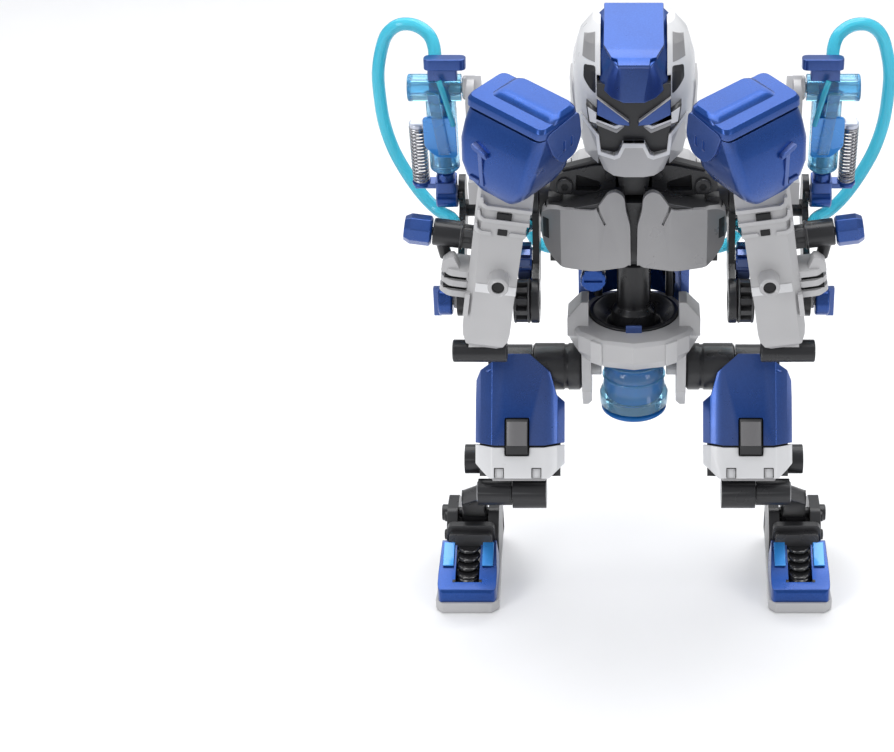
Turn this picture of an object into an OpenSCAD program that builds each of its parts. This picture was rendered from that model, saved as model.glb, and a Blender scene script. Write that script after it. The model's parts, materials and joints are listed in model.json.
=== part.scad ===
// Boxing humanoid robot kit: a pelvis with a fluid tank, two legs, a turning torso, a head and two arms.
// Each arm is driven by a fluid cylinder behind the forearm and is pulled back by a spring.
// The robot faces -Y and stands on z = 0. Its own left side is +X. All sizes are in millimetres.

/* [Legs] */
// Height of the hip axis above the floor
hip_z = 90.6; // [88:0.2:93]
// Length of the thigh from hip to knee
thigh_len = 51; // [49:0.5:53]
// Forward lean of the thigh, in degrees
thigh_tilt = 32; // [30:1:34]
// Width of the thigh armour
thigh_w = 36; // [34:0.5:37]
// Distance of the thigh's middle from the robot's middle
thigh_x = 46; // [45.5:0.1:46.5]

/* [Feet] */
// Width of a foot
foot_w = 26; // [24:0.5:28]
// Distance of the foot's middle from the robot's middle
foot_x = 68; // [67:0.2:69]
// Front end of the foot
toe_y = -45; // [-48:1:-42]
// Back end of the foot
heel_y = 14; // [12:1:16]
// Thickness of the sole
sole_h = 5; // [4:0.5:5.5]

/* [Torso] */
// Half of the chest's width
chest_half_w = 36; // [35:0.2:36.6]
// Height of the chest plates' lower edge
chest_z = 145; // [144:0.5:146]
// Height of the shoulder axis
shoulder_z = 166; // [165:0.5:167]
// Radius of the waist column
column_r = 5.6; // [5:0.1:6]

/* [Head] */
// Width of the helmet
head_w = 50; // [48:0.5:52]
// Height of the top of the head
head_top = 244; // [242:0.5:246]

/* [Arms] */
// Width of the forearm
forearm_w = 18.4; // [17.6:0.2:18.6]
// Inward lean of the forearm, in degrees
forearm_lean = 8; // [7:0.5:9]
// Turn of the glove about the vertical, in degrees
glove_turn = 40; // [37:1:43]
// Length of the glove across the hand
glove_len = 37; // [35:0.5:38]
// Depth of the glove
glove_depth = 25; // [24:0.5:26]
// Outer radius of the cylinder's barrel
barrel_r = 5.8; // [5.4:0.1:5.9]
// Outer diameter of the flexible tubes
tube_d = 5; // [4.6:0.1:5.2]

/* [Hidden] */
$fn = 48;

LEFT = 1;
RIGHT = -1;
wall = 1.8;          // wall of every moulded shell
gap = 0.4;           // space between two bodies that move against each other
fit = 0.06;          // radial running clearance of a pin in its bore
blue = "royalblue";
pale = "gainsboro";
grey = "darkgray";
black = [0.16, 0.16, 0.18];
clear_blue = [0.3, 0.6, 0.95, 0.6];
cyan = [0.3, 0.85, 0.95, 0.7];

// moves the robot along Y so that its bounding box is centred on the origin
front_shift = 21.4;

// hip, knee and ankle
hip_r = 9.6;
hip_in = 21;
hip_out = 41;
hip_pin_r = 5;
knee_y = -thigh_len * sin(thigh_tilt);
knee_z = hip_z - thigh_len * cos(thigh_tilt);
knee_pin_r = 2.5;
ankle_y = -8;
ankle_z = 25;
ankle_pin_r = 2.2;
shell_low = 31;      // distance down the thigh of the seam between armour and knee guard
shell_end = 45.6;    // distance down the thigh of the guard's lower edge
latch_top = 22;
latch_low = 36;
latch_w = 8.6;

// pelvis and waist
ring_r = 26;
ring_low = 103;
ring_top = 116;
bowl_r = 18;
column_top = 151;

// head
neck_z = 188;
neck_half = 3;
neck_pin_r = 1.6;

// arm
shoulder_pin_r = 3;
elbow_y = -20;
elbow_z = 131;
elbow_x = 56;        // middle of the forearm at the elbow axis
axle_r = 3;
drum_r = 8.7;
gear_r = 9.3;
gear_y = -3;
gear_z = 138.1;
gear_teeth = 12;
drum_bars = 11;
inner_x = 37;        // inner face of the arm frame's inner plate
plate_t = 2.6;
tower_x = 66;        // inner face of the arm frame's outer plate
wheel_x0 = 40.1;
wheel_x1 = 45.4;
wrist_z = 188;
pivot_y = -8;        // upper pivot of the cylinder
pivot_z = 215;
pivot_x0 = 64.6;
pivot_x1 = 85;
rod_y = 2;           // lower eye of the piston rod
rod_z = 166;
cylinder_x = 73;
bore_r = 4.2;
spring_x = 82.6;
spring_r = 3.4;
spring_wire = 0.5;
spring_turns = 12;

pin_r = 1.6;         // pins that the small knobs turn on
fitting_r = 2.9;     // radius of the tube fittings
clip_x = 42.4;       // tube clip behind the arm frame
clip_y = 16;
clip_z = 147.5;
boss_z = 21.2;         // socket on the forearm's front, above the elbow axis
low_tube_x0 = 49;      // tube across the forearm's lower end
low_tube_x1 = 70;
low_tube_y = -34;
low_tube_z = 116.4;
low_tube_r = 4.4;
bracket_z = 30.6;      // side bracket, above the elbow axis along the forearm
pipe_end = 24.4;       // outer end of the bracket's pipe, from the forearm's middle
knob_w = 11;

// The tubes' routes on the left side: points chosen by hand
TUBE_LOOP = [
    [75, -4, 222], [75, -2, 228], [77, 0, 233], [82, 2, 236], [88, 3, 236], [93, 5, 232],
    [96, 7, 225], [98, 8, 215], [98, 9, 204], [97, 10, 193], [94, 10, 182], [89, 9, 172],
    [83, 7, 163.6], [77, 4, 158.6], [71.8, -1, 158], [69.8, -6.5, 157.6], [68.8, -10.5, 156.6],
    [67.2, -13, 155.8], [64.5, -13.4, 155.4]
];
TUBE_ELBOW = [
    [54.1, -13.4, 154.1], [51.2, -13.2, 153.7], [47.8, -10.8, 153], [45.2, -5.6, 152.2],
    [43.8, 0.6, 151.3], [42.9, 7, 149.6], [42.6, 11.2, 147.9], [42.4, 14, 147.5]
];
TUBE_BACK = [
    [42.4, 18.1, 147.5], [42.5, 20.8, 147], [42.8, 24, 143.8], [42, 26.2, 138.4],
    [39.6, 27.2, 133.8], [35.8, 26.8, 131.9], [32, 24.8, 132.4], [29.2, 23.2, 134], [26.6, 23, 134.4]
];

// ---------- shared helpers ----------

// Puts a sub-part, modelled with the hip axis at y = 0, in its place
module placed() {
    translate([0, front_shift, 0]) children();
}

// Shows children as modelled on the left side, or mirrored to the right
module on_side(side) {
    if (side == LEFT) children();
    else mirror([1, 0, 0]) children();
}

module x_rod(x0, x1, r, y = 0, z = 0) {
    translate([x0, y, z]) rotate([0, 90, 0]) cylinder(r = r, h = x1 - x0);
}

module y_rod(y0, y1, r, x = 0, z = 0) {
    translate([x, y1, z]) rotate([90, 0, 0]) cylinder(r = r, h = y1 - y0);
}

// An outline in (y, z), extruded from x0 to x1
module side_plate(x0, x1, outline) {
    translate([x0, 0, 0]) rotate([90, 0, 90]) linear_extrude(x1 - x0) polygon(outline);
}

// An outline in (x, z), extruded from y0 to y1
module front_plate(y0, y1, outline) {
    translate([0, y1, 0]) rotate([90, 0, 0]) linear_extrude(y1 - y0) polygon(outline);
}

module block(x0, x1, y0, y1, z0, z1) {
    translate([x0, y0, z0]) cube([x1 - x0, y1 - y0, z1 - z0]);
}

// The outline and its mirror image as one closed outline
function both_halves(half) = concat(half, [for (i = [len(half) - 1:-1:0]) [-half[i][0], half[i][1]]]);

// A flat bar with round ends between two points in the (y, z) plane
module link(x0, x1, a, b, r) {
    hull() {
        x_rod(x0, x1, r, a[0], a[1], $fn = 32);
        x_rod(x0, x1, r, b[0], b[1], $fn = 32);
    }
}

// ---------- flexible tubes ----------

function unit(v) = v / norm(v);
function route_dir(p, i) = unit(p[min(i + 1, len(p) - 1)] - p[max(i - 1, 0)]);

// One tube swept along the points of a route, with flat ends
module swept_tube(route, diameter, sides = 10) {
    rings = [for (i = [0:len(route) - 1])
        let (d = route_dir(route, i), u = unit(cross(d, [0.3, 0.9, 0.3])), v = cross(d, u))
        for (k = [0:sides - 1])
            route[i] + diameter / 2 * (cos(360 * k / sides) * u + sin(360 * k / sides) * v)
    ];
    last = (len(route) - 1) * sides;
    walls = [for (i = [0:len(route) - 2]) for (k = [0:sides - 1])
        let (a = i * sides + k, b = i * sides + (k + 1) % sides)
            each [[a, a + sides, b], [b, a + sides, b + sides]]
    ];
    caps = [[for (k = [0:sides - 1]) k], [for (k = [sides - 1:-1:0]) last + k]];
    polyhedron(rings, concat(walls, caps), convexity = 4);
}

// ---------- pelvis ----------

ring_outline = both_halves([
    [0, -29], [13, -26], [22, -18], [26, -6], [25, 10], [17, 19]
]);

module pelvis_ring() {
    color(pale) difference() {
        union() {
            translate([0, 0, ring_low]) linear_extrude(ring_top - ring_low) polygon(ring_outline);
            for (side = [LEFT, RIGHT]) on_side(side) {
                side_plate(19, 25, [[-14, ring_top - 1], [2, ring_top - 1], [0, 125], [-10, 125]]);
                side_plate(17.5, hip_in, [
                    [-14, ring_low + 1], [12, ring_low + 1], [12, 86], [-4, 75], [-13, 86]
                ]);
                x_rod(14.2, 18, 2.6, -7, 94);
            }
        }
        translate([0, 0, ring_low + 3]) cylinder(r = bowl_r, h = 40);
        translate([0, 0, ring_low - 1]) cylinder(r = 8, h = 6);
    }
}

module pelvis_bowl() {
    color(black) {
        rotate_extrude() polygon([
            [0, ring_low + 3], [bowl_r - 2, ring_low + 3], [bowl_r, ring_top - 4],
            [bowl_r, ring_top + 1], [bowl_r - 2, ring_top + 1], [10, ring_low + 8],
            [8.4, ring_low + 14], [column_r + 1.2, ring_low + 16], [column_r + 1.2, 139.4],
            [column_r, 139.4], [column_r, column_top], [0, column_top]
        ]);
    }
}

module waist_guards() {
    color(blue) for (side = [LEFT, RIGHT]) on_side(side) {
        difference() {
            rotate([0, 0, 14]) translate([0, 0, ring_top + gap]) rotate_extrude(angle = 60)
                translate([19.5, 0]) square([3.5, 17]);
            rotate([0, 0, 43]) x_rod(15, 30, 4.4, 0, 125.5, $fn = 6);
        }
    }
}

module reservoir() {
    color(clear_blue) translate([0, -7, 0]) rotate_extrude() polygon([
        [0, 77], [11.2, 77], [11.2, 101], [9.5, 101], [9.5, ring_low - 0.2], [13.2, ring_low - 0.2],
        [13.2, 98], [13.4, 84], [14.6, 82], [14.6, 74.5], [0, 74.5]
    ]);
}

module reservoir_cap() {
    color("midnightblue") translate([0, -7, 0]) {
        translate([0, 0, 71]) cylinder(r = 13, h = 3.5);
        translate([0, 0, 68]) cylinder(r = 6, h = 3.1, $fn = 6);
    }
}

module hip_barrels() {
    color(black) for (side = [LEFT, RIGHT]) on_side(side) {
        x_rod(hip_in, hip_out, hip_r, 0, hip_z);
        x_rod(hip_out - 1, 57, hip_pin_r, 0, hip_z);
        x_rod(57 - 0.1, 59, hip_pin_r + 2, 0, hip_z);
    }
}

// ---------- legs ----------

// Frame of the thigh: the origin is on the hip axis and -Z runs down the thigh
module in_thigh(side) {
    on_side(side) translate([thigh_x, 0, hip_z]) rotate([-thigh_tilt, 0, 0]) children();
}

// Cross-section of the thigh armour, pulled in by inset
module thigh_section(inset) {
    h = thigh_w / 2 - inset;
    polygon([
        [-h, 2], [-h, -5 + inset / 2], [-h + 8, -12 + inset], [h - 7, -12 + inset],
        [h, -5 + inset / 2], [h, 2]
    ]);
}

module thigh_skin() {
    difference() {
        translate([0, 0, -60]) linear_extrude(80) thigh_section(0);
        translate([0, 0, -61]) linear_extrude(82) thigh_section(wall);
        block(-thigh_w, thigh_w, 0.5, 5, -61, 21);
    }
}

module thigh_frame(side) {
    color(black) {
        on_side(side) difference() {
            union() {
                x_rod(hip_out + gap, 56, 9, 0, hip_z);
                x_rod(35.4, 49, 6.6, knee_y, knee_z);
                link(42, 49, [0, hip_z], [knee_y * 0.86, knee_z + 6], 4.6);
                x_rod(60, 69, 6, -14, 55);
                block(50, 62, -19, -13, 51, 58);
            }
            x_rod(30, 60, hip_pin_r + fit, 0, hip_z);
            x_rod(40, 60, knee_pin_r + fit, knee_y, knee_z);
        }
        in_thigh(side) block(-3.5, -3.5 + latch_w, -14, -4, -latch_low, -latch_top);
    }
}

module thigh_shell(side) {
    h = thigh_w / 2;
    color(blue) in_thigh(side) difference() {
        intersection() {
            thigh_skin();
            front_plate(-20, 10, [
                [-4, 4.5], [6, 4.5], [h - 2, -2], [h, -6], [h + 0.5, -shell_low],
                [h - 8, -shell_low - 1.5], [-h + 8, -shell_low - 1.5], [-h - 0.5, -shell_low],
                [-h - 0.5, -15], [-h + 3, -12], [-4, -12]
            ]);
        }
        block(-4, -2.8 + latch_w, -20, 0, -latch_low - 1, -latch_top + 0.6);
    }
}

module knee_guard(side) {
    h = thigh_w / 2;
    color("white") in_thigh(side) difference() {
        intersection() {
            thigh_skin();
            front_plate(-20, 10, [
                [h + 0.5, -shell_low - 0.2], [h + 0.5, -39], [h - 6, -shell_end], [-h + 6, -shell_end],
                [-h - 0.5, -39], [-h - 0.5, -shell_low - 0.2], [-h + 8, -shell_low - 1.7],
                [h - 8, -shell_low - 1.7]
            ]);
        }
        block(-4, -2.8 + latch_w, -20, 0, -latch_low - 0.6, 0);
        for (x = [-7, 8]) block(x - 1.8, x + 1.8, -20, -11.2, -shell_end - 1, -shell_end + 4);
    }
}

module shin(side) {
    color(black) on_side(side) {
        difference() {
            union() {
                x_rod(49 + gap, 63, 5.4, knee_y, knee_z);
                hull() {
                    x_rod(54, 62, 3.4, knee_y, knee_z, $fn = 32);
                    x_rod(62, 70, 3.2, -20, 40, $fn = 32);
                }
                link(62, 70.5, [-20, 40], [ankle_y, ankle_z], 3.2);
                x_rod(61.5, 71.5, 5, ankle_y, ankle_z);
            }
            x_rod(50, 80, ankle_pin_r + fit, ankle_y, ankle_z);
        }
        x_rod(40.4, 49.5, knee_pin_r, knee_y, knee_z);
    }
}

module ankle_block(side) {
    color(black) on_side(side) translate([foot_x, 0, 0]) {
        for (x = [-12, 5.2]) side_plate(x, x + 4.4, [
            [-21, 21.5], [-14, 30], [-2, 30], [8, 22], [heel_y - 3, sole_h], [-21, sole_h]
        ]);
        side_plate(-12, 9.6, [[-22, 18.6], [-21.4, 27.6], [-18.8, 27.6], [-18.8, 16], [-22, 16]]);
        side_plate(-12, 9.6, [[5, sole_h], [5, 16], [8, 16], [heel_y - 3, sole_h]]);
        x_rod(-11, 12, ankle_pin_r, ankle_y, ankle_z);
        x_rod(9.4, 12.2, 3.4, ankle_y, ankle_z);
        block(-4.4, 4.4, -40, -22, 8.4, 10.4);
        for (y = [-24.5, -29.5, -34.5]) x_rod(-4.2, 4.2, 2, y, 11 + (-y - 24.5) * -0.1);
    }
}

module foot_shell(side) {
    half = foot_w / 2 - 1;
    color(blue) on_side(side) translate([foot_x, 0, 0]) difference() {
        intersection() {
            side_plate(-half, half, [
                [toe_y + 1, sole_h], [toe_y + 0.5, 9], [toe_y + 3.5, 12], [-24, 20.5], [-22, 20.5],
                [-22, sole_h]
            ]);
            front_plate(toe_y, 0, [
                [-half, sole_h - 1], [half, sole_h - 1], [half, 16], [half - 1, 22], [-half + 1, 22],
                [-half, 16]
            ]);
        }
        side_plate(-half + wall, half - wall, [
            [toe_y + 3, sole_h - 1], [toe_y + 3, 8], [-24, 17.5], [-20, 17.5], [-20, sole_h - 1]
        ]);
        block(-4.8, 4.8, -40.4, -20, 7, 30);
    }
}

module foot_sole(side) {
    half = foot_w / 2;
    color(pale) on_side(side) translate([foot_x, 0, 0]) linear_extrude(sole_h) polygon([
        [-half, toe_y + 3], [-half + 3, toe_y], [half - 3, toe_y], [half, toe_y + 3],
        [half - 1.5, heel_y - 4], [half - 5, heel_y], [-half + 5, heel_y], [-half + 1.5, heel_y - 4]
    ]);
}

// ---------- torso ----------

module chest_frame() {
    color(black) difference() {
        union() {
            translate([0, 0, 144]) cylinder(r = 9, h = 14);
            block(-33, 33, -3, 4, 140, 171);
            block(-3.4, 3.4, -16, -2, 146, 171);
            for (side = [LEFT, RIGHT]) on_side(side) {
                x_rod(31, inner_x - gap, 8.5, 2, shoulder_z);
                side_plate(28, 33, [[-12, 150], [4, 140], [14, 142], [14, 171], [-10, 171]]);
                translate([14.5, 7, ring_top + 4]) cylinder(r = 1.8, h = 24);
                block(11.5, 17.5, 3, 10, 139, 145);
                x_rod(33, inner_x + plate_t + gap, shoulder_pin_r, 2, shoulder_z);
                x_rod(inner_x + plate_t + gap, inner_x + plate_t + 2, 5, 2, shoulder_z);
            }
            y_rod(-15, -2, 4.6, -15.8, 139);
            block(-19, -12, -6, 0, 139, 146);
        }
        translate([0, 0, 130]) cylinder(r = column_r + fit, h = column_top + 0.3 - 130);
        y_rod(-16, -4, 1.6, -15.8, 139);
    }
}

module chest_plate(side) {
    h = chest_half_w;
    outline = [
        [2, chest_z], [17, chest_z - 1], [27, chest_z], [35, 151], [h, 158], [35.6, 166], [28, 171],
        [11.5, 170], [9, 177], [6, 179], [3.2, 176], [3, 170], [1.2, 162], [1.2, 147]
    ];
    color(grey) on_side(side) intersection() {
        front_plate(-30, 0, outline);
        translate([0, 0, 140]) linear_extrude(45) polygon([
                [0, -20], [14, -24], [28, -22], [h + 1, -12], [h + 1, -7], [h - 1.5, -7],
                [h - 1.5, -10], [27, -20], [14, -22], [0, -18]
            ]);
    }
}

module shoulder_yoke() {
    color(black) {
        for (side = [LEFT, RIGHT]) on_side(side) {
            difference() {
                front_plate(-11, -4, [
                    [5, 172], [12, 171.5], [30, 172.5], [33, 175], [28, 181], [14, 184.5], [7, 184]
                ]);
                y_rod(-20, 5, 3.6, 13, 177.5, $fn = 3);
            }
            y_rod(-13, -10, 3.2, 26.5, 176);
        }
        difference() {
            union() {
                block(-7, 7, -11, 8, 172, 182);
                block(-neck_half, neck_half, -1, 5, 180, neck_z);
                x_rod(-neck_half, neck_half, 3, 2, neck_z);
            }
            x_rod(-10, 10, neck_pin_r + fit, 2, neck_z);
        }
    }
}

module back_cover() {
    color(pale) difference() {
        union() {
            translate([0, 0, 142]) linear_extrude(34)
                polygon(both_halves([[0, 30], [16, 29], [27, 22], [27, 14.4]]));
            for (side = [LEFT, RIGHT]) on_side(side) block(16, 25.8, 17, 25, 134.5, 143);
        }
        translate([0, 0, 140]) linear_extrude(34)
            polygon(both_halves([[0, 28], [15.4, 27], [25, 20.8], [25, 12]]));
    }
    color(black) for (side = [LEFT, RIGHT]) on_side(side)
        x_rod(20, 26, 3.4, 23, 134.5);
}

module valve_knob() {
    color(blue) {
        y_rod(-19, -15 - gap, 5, -15.8, 139);
        y_rod(-15 - gap - 0.1, -6, 1.6 - fit, -15.8, 139);
    }
}

// ---------- head ----------

// The helmet's outer form, pulled in by inset; the chin side is open
module helmet_form(inset) {
    w = head_w / 2 - inset;
    top = head_top - 3 - inset;
    hull() {
        translate([0, 2, top - 4]) cylinder(r1 = w - 4, r2 = w - 12, h = 4, $fn = 32);
        translate([0, 3, 200]) cylinder(r = w, h = 22, $fn = 32);
        translate([0, 5, 188 + inset]) cylinder(r = w - 4, h = 3, $fn = 32);
    }
}

module helmet_shell() {
    color(pale) difference() {
        helmet_form(0);
        helmet_form(wall);
        block(-40, 40, -40, -12, 180, 200);
        block(-13.8, 13.8, -40, -8, 180, 250);
        block(-14, 14, -40, 40, 180, 193);
        block(-13.8, 13.8, -40, 8, 220, 250);
    }
}

module helmet_crest() {
    color(blue) hull() {
        block(-11, 11, -10, -2, head_top - 2, head_top);
        block(-13.4, 13.4, -17, -13, 229, 234);
        block(-9, 9, -24.5, -22.2, 220.5, 221.5);
        block(-1.5, 1.5, -27, -22.2, 216, 217);
        block(-13.4, 13.4, -8, 7.6, 238, 239);
    }
}

module face_plate() {
    color(black) {
        front_plate(-22, -11.8, both_halves([
            [0, 215], [9, 215.4], [13.6, 217], [13.6, 200.5], [8.5, 195.5], [4, 200], [0, 200]
        ]));
        block(-5, 5, -12, 6, 196, 208);
        for (side = [LEFT, RIGHT]) on_side(side)
            block(neck_half + gap, neck_half + gap + 2, -1, 5, neck_z - 3, 197);
        x_rod(-neck_half - 2, neck_half + 2, neck_pin_r, 2, neck_z);
    }
}

module jaw_guard() {
    color(grey) difference() {
        hull() {
            front_plate(-25, -20, both_halves([[0, 186.5], [10, 187], [14, 195], [14, 199]]));
            block(-18, 18, -14, -12.2, 190, 199);
        }
        front_plate(-40, -21.9, both_halves([
            [0, 201], [0, 200.2], [4, 200.2], [7.6, 195.2], [12.6, 195.2], [14, 200.4]
        ]));
        block(-16, 16, -22.2, 0, 180, 205);
    }
}

module eye_trim() {
    color("whitesmoke") for (side = [LEFT, RIGHT]) on_side(side)
        front_plate(-23, -22.05, [
            [13.2, 216], [14, 208.5], [6.6, 204.4], [3.6, 207.4], [5, 208.4], [6.8, 206.6], [11.6, 209.4],
            [11.2, 214.6]
        ]);
}

// ---------- arms ----------

module arm_frame(side) {
    color(black) on_side(side) difference() {
        union() {
            x_rod(inner_x, inner_x + plate_t, 9, 2, shoulder_z);
            link(inner_x, inner_x + plate_t, [2, shoulder_z], [gear_y, gear_z], 7);
            link(inner_x, inner_x + plate_t, [gear_y, gear_z], [elbow_y, elbow_z], 6);
            x_rod(inner_x + 1, tower_x + 1, 3.4, 8, 158);
            x_rod(inner_x + 1, wheel_x1 + 2, axle_r - 1, gear_y, gear_z);
            link(inner_x, inner_x + plate_t, [2, shoulder_z], [8, 158], 6);
            link(tower_x, tower_x + plate_t, [elbow_y, elbow_z], [8, 158], 6);
            link(tower_x, tower_x + plate_t, [8, 158], [rod_y + 4, rod_z + 2], 5);
            x_rod(tower_x + 1, cylinder_x - 4.2 - gap, 2.4, rod_y, rod_z);
            x_rod(inner_x + 1, 46.4, axle_r, elbow_y, elbow_z);
            link(inner_x, inner_x + plate_t, [8, 158], [clip_y, clip_z], 3.4);
            y_rod(clip_y - 1.6, clip_y + 1.6, 3.3, clip_x, clip_z);
        }
        x_rod(60, 80, axle_r + fit, elbow_y, elbow_z);
        x_rod(30, 45, shoulder_pin_r + fit, 2, shoulder_z);
    }
}

// A disc with square teeth on its rim
module elbow_gear(side) {
    color(blue) on_side(side) difference() {
        union() {
            x_rod(wheel_x0, wheel_x1, gear_r - 2.2, gear_y, gear_z);
            translate([wheel_x0 + 0.6, gear_y, gear_z]) for (i = [0:gear_teeth - 1])
                rotate([i * 360 / gear_teeth, 0, 0])
                    translate([0, -1.3, 4]) cube([wheel_x1 - wheel_x0 - 0.6, 2.6, gear_r - 4.2]);
        }
        x_rod(30, 60, axle_r - 1 + fit, gear_y, gear_z);
    }
}

// A hollow drum whose outer wall is cut into bars
module elbow_drum(side) {
    color(black) on_side(side) translate([wheel_x0, elbow_y, elbow_z]) rotate([0, 90, 0]) difference() {
        cylinder(r = drum_r, h = wheel_x1 - wheel_x0);
        translate([0, 0, 1.4]) cylinder(r = drum_r - 2.4, h = 20);
        translate([0, 0, -1]) cylinder(r = axle_r + fit, h = 20);
        for (i = [0:drum_bars - 1]) rotate([0, 0, i * 360 / drum_bars])
            translate([drum_r - 3.6, -1.3, 1.8]) cube([5, 2.6, 2.6]);
    }
}

// Frame of the forearm: the origin is on the elbow axis and +Z runs up the leaning forearm
module in_forearm(side) {
    on_side(side) translate([elbow_x, elbow_y, elbow_z]) rotate([0, -forearm_lean, 0]) children();
}

module forearm_shell(side) {
    h = forearm_w / 2;
    color(pale) difference() {
        union() {
            in_forearm(side) {
                difference() {
                    union() {
                        intersection() {
                            front_plate(-24, 5, [
                                [-h, -4.5], [-h + 1.5, -8.8], [-h + 5, -11], [h - 5, -11],
                                [h - 1.5, -8.8], [h, -4.5], [h, 40], [h + 1, 44], [h + 1, 57],
                                [-h - 1, 57], [-h - 1, 44], [-h, 40]
                            ]);
                            side_plate(-12, 12, [
                                [-22, -6], [-19, -12], [0, -12], [3, -8],
                                [4, 40], [2, 60], [-20, 60], [-22, 40]
                            ]);
                        }
                        y_rod(-30, -20, 3.9, -2.5, boss_z);
                        block(-6, 6, -17, -9, -13, -10);
                        block(h - 1, h + 8, -18, -4, 9, 21);
                        x_rod(2, 11, fitting_r, 6.6, 23);
                        block(4, 9, 2, 6, 20.6, 25.4);
                    }
                    y_rod(-31, -10, 2.4, -2.5, boss_z);
                }
            }
            on_side(side) {
                link(59.6, 62.4, [-12, 182], [pivot_y - 4, pivot_z], 4.6);
                x_rod(low_tube_x0, low_tube_x1, low_tube_r, low_tube_y, low_tube_z);
                x_rod(59.6, pivot_x0 - gap, 4.6, pivot_y, pivot_z);
                x_rod(60, 76, axle_r - 1, pivot_y, pivot_z);
                block(50, 62.4, -24, -10, 174, 183);
                x_rod(60, 70, axle_r, elbow_y, elbow_z);
                x_rod(69, 73, pin_r, elbow_y, elbow_z);
            }
        }
        on_side(side) {
            x_rod(30, 52, axle_r + fit, elbow_y, elbow_z);
            x_rod(low_tube_x0 - 1, low_tube_x1 + 1, 2.6, low_tube_y, low_tube_z);
        }
    }
}

module side_bracket(side) {
    color(black) in_forearm(side) {
        x_rod(13.5, pipe_end, 5.2, -8, bracket_z);
        x_rod(pipe_end - 1, pipe_end + 4, pin_r, -8, bracket_z);
        translate([14.6, -8, 21.05]) cylinder(r = 2.2, h = bracket_z - 23);
        block(10, 14.5, -10.6, -5.4, bracket_z - 3.6, bracket_z + 3.6);
    }
}

module side_knob(side) {
    color(blue) in_forearm(side) difference() {
        x_rod(pipe_end + gap, pipe_end + knob_w, 5.9, -8, bracket_z, $fn = 8);
        x_rod(pipe_end - 2, pipe_end + 4.4, pin_r + fit, -8, bracket_z);
    }
}

module elbow_knob(side) {
    color(blue) on_side(side) difference() {
        union() {
            x_rod(70 + gap, 76, 5.6, elbow_y, elbow_z);
            block(75, 78, elbow_y - 1.4, elbow_y + 1.4, elbow_z - 6, elbow_z + 6);
        }
        x_rod(60, 73.4, pin_r + fit, elbow_y, elbow_z);
    }
}

// Frame of the glove: the origin is at the wrist
module in_glove(side) {
    on_side(side) translate([42.5, -42, wrist_z]) rotate([14, 0, 0]) rotate([0, 0, glove_turn]) children();
}

module glove_form(inset) {
    l = glove_len / 2 - inset;
    d = glove_depth / 2 - inset;
    outline = [[-l, -d + 3], [-l + 3, -d], [l, -d], [l, d], [-l, d]];
    hull() {
        for (z = [34 - inset, 18]) translate([0, 0, z]) linear_extrude(0.5) polygon(outline);
        translate([2, 3, 1 - inset]) linear_extrude(0.5)
            square([13 - inset * 2, 12 - inset * 2], center = true);
    }
}

module glove_shell(side) {
    color(blue) in_glove(side) difference() {
        glove_form(0);
        glove_form(wall);
    }
}

module glove_cap(side) {
    l = glove_len / 2;
    d = glove_depth / 2;
    color(blue) in_glove(side) hull() {
        translate([0, 0, 34.6]) linear_extrude(4) square([2 * l + 1, 2 * d + 1], center = true);
        translate([-2, 2, 40]) linear_extrude(2) square([2 * l - 10, 2 * d - 8], center = true);
    }
}

// The line of the cylinder, from its upper pivot down to the rod's eye
rod_len = norm([rod_y - pivot_y, rod_z - pivot_z]);
rod_lean = atan2(rod_y - pivot_y, pivot_z - rod_z);
module in_cylinder(side) {
    on_side(side) translate([cylinder_x, pivot_y, pivot_z]) rotate([rod_lean, 0, 0]) children();
}

module cylinder_unit(side) {
    color(clear_blue) {
        on_side(side) difference() {
            x_rod(pivot_x0, pivot_x1, 5.2, pivot_y, pivot_z);
            x_rod(60, 77, axle_r - 1 + fit, pivot_y, pivot_z);
        }
        in_cylinder(side) {
            difference() {
                translate([0, 0, -36]) cylinder(r = barrel_r, h = 32);
                translate([0, 0, -40]) cylinder(r = bore_r, h = 33);
            }
            block(spring_x - cylinder_x - 2.5, spring_x - cylinder_x + 2.5, -2.5, 2.5, -17, -15);
            translate([1, 0, 4]) cylinder(r = 2.6, h = 3.4);
        }
    }
}

module piston_rod(side) {
    color("whitesmoke") in_cylinder(side) {
        translate([0, 0, -rod_len + 4]) cylinder(r = 2.6, h = rod_len - 16);
        translate([0, 0, -14]) cylinder(r = bore_r - fit, h = 4.4);
    }
    color(blue) in_cylinder(side) {
        translate([0, 0, -rod_len]) rotate([0, 90, 0]) cylinder(r = 4.6, h = 8.4, center = true);
        translate([0, 0, -rod_len + 2]) cylinder(r = 4, h = 6);
        block(3, spring_x - cylinder_x + 2.5, -2.5, 2.5, -rod_len + 5, -rod_len + 7.4);
    }
}

// A sleeve of the spring's outer size, with a groove between each two turns
module return_spring(side) {
    length = rod_len - 17 - 7.4;
    color("silver") in_cylinder(side) translate([spring_x - cylinder_x, 0, -17 - length]) difference() {
        cylinder(r = spring_r, h = length);
        translate([0, 0, -1]) cylinder(r = spring_r - 2 * spring_wire, h = length + 2);
        for (i = [1:spring_turns - 1]) translate([0, 0, i * length / spring_turns])
            difference() {
                cylinder(r = spring_r + 1, h = spring_wire, center = true);
                cylinder(r = spring_r - spring_wire, h = spring_wire * 2, center = true);
            }
    }
}

module loop_tube(side) {
    color(cyan) on_side(side) swept_tube(TUBE_LOOP, tube_d);
}

module elbow_tube(side) {
    color(cyan) on_side(side) swept_tube(TUBE_ELBOW, tube_d);
}

module back_tubes() {
    color(cyan) for (side = [LEFT, RIGHT]) on_side(side) swept_tube(TUBE_BACK, tube_d);
}

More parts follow.
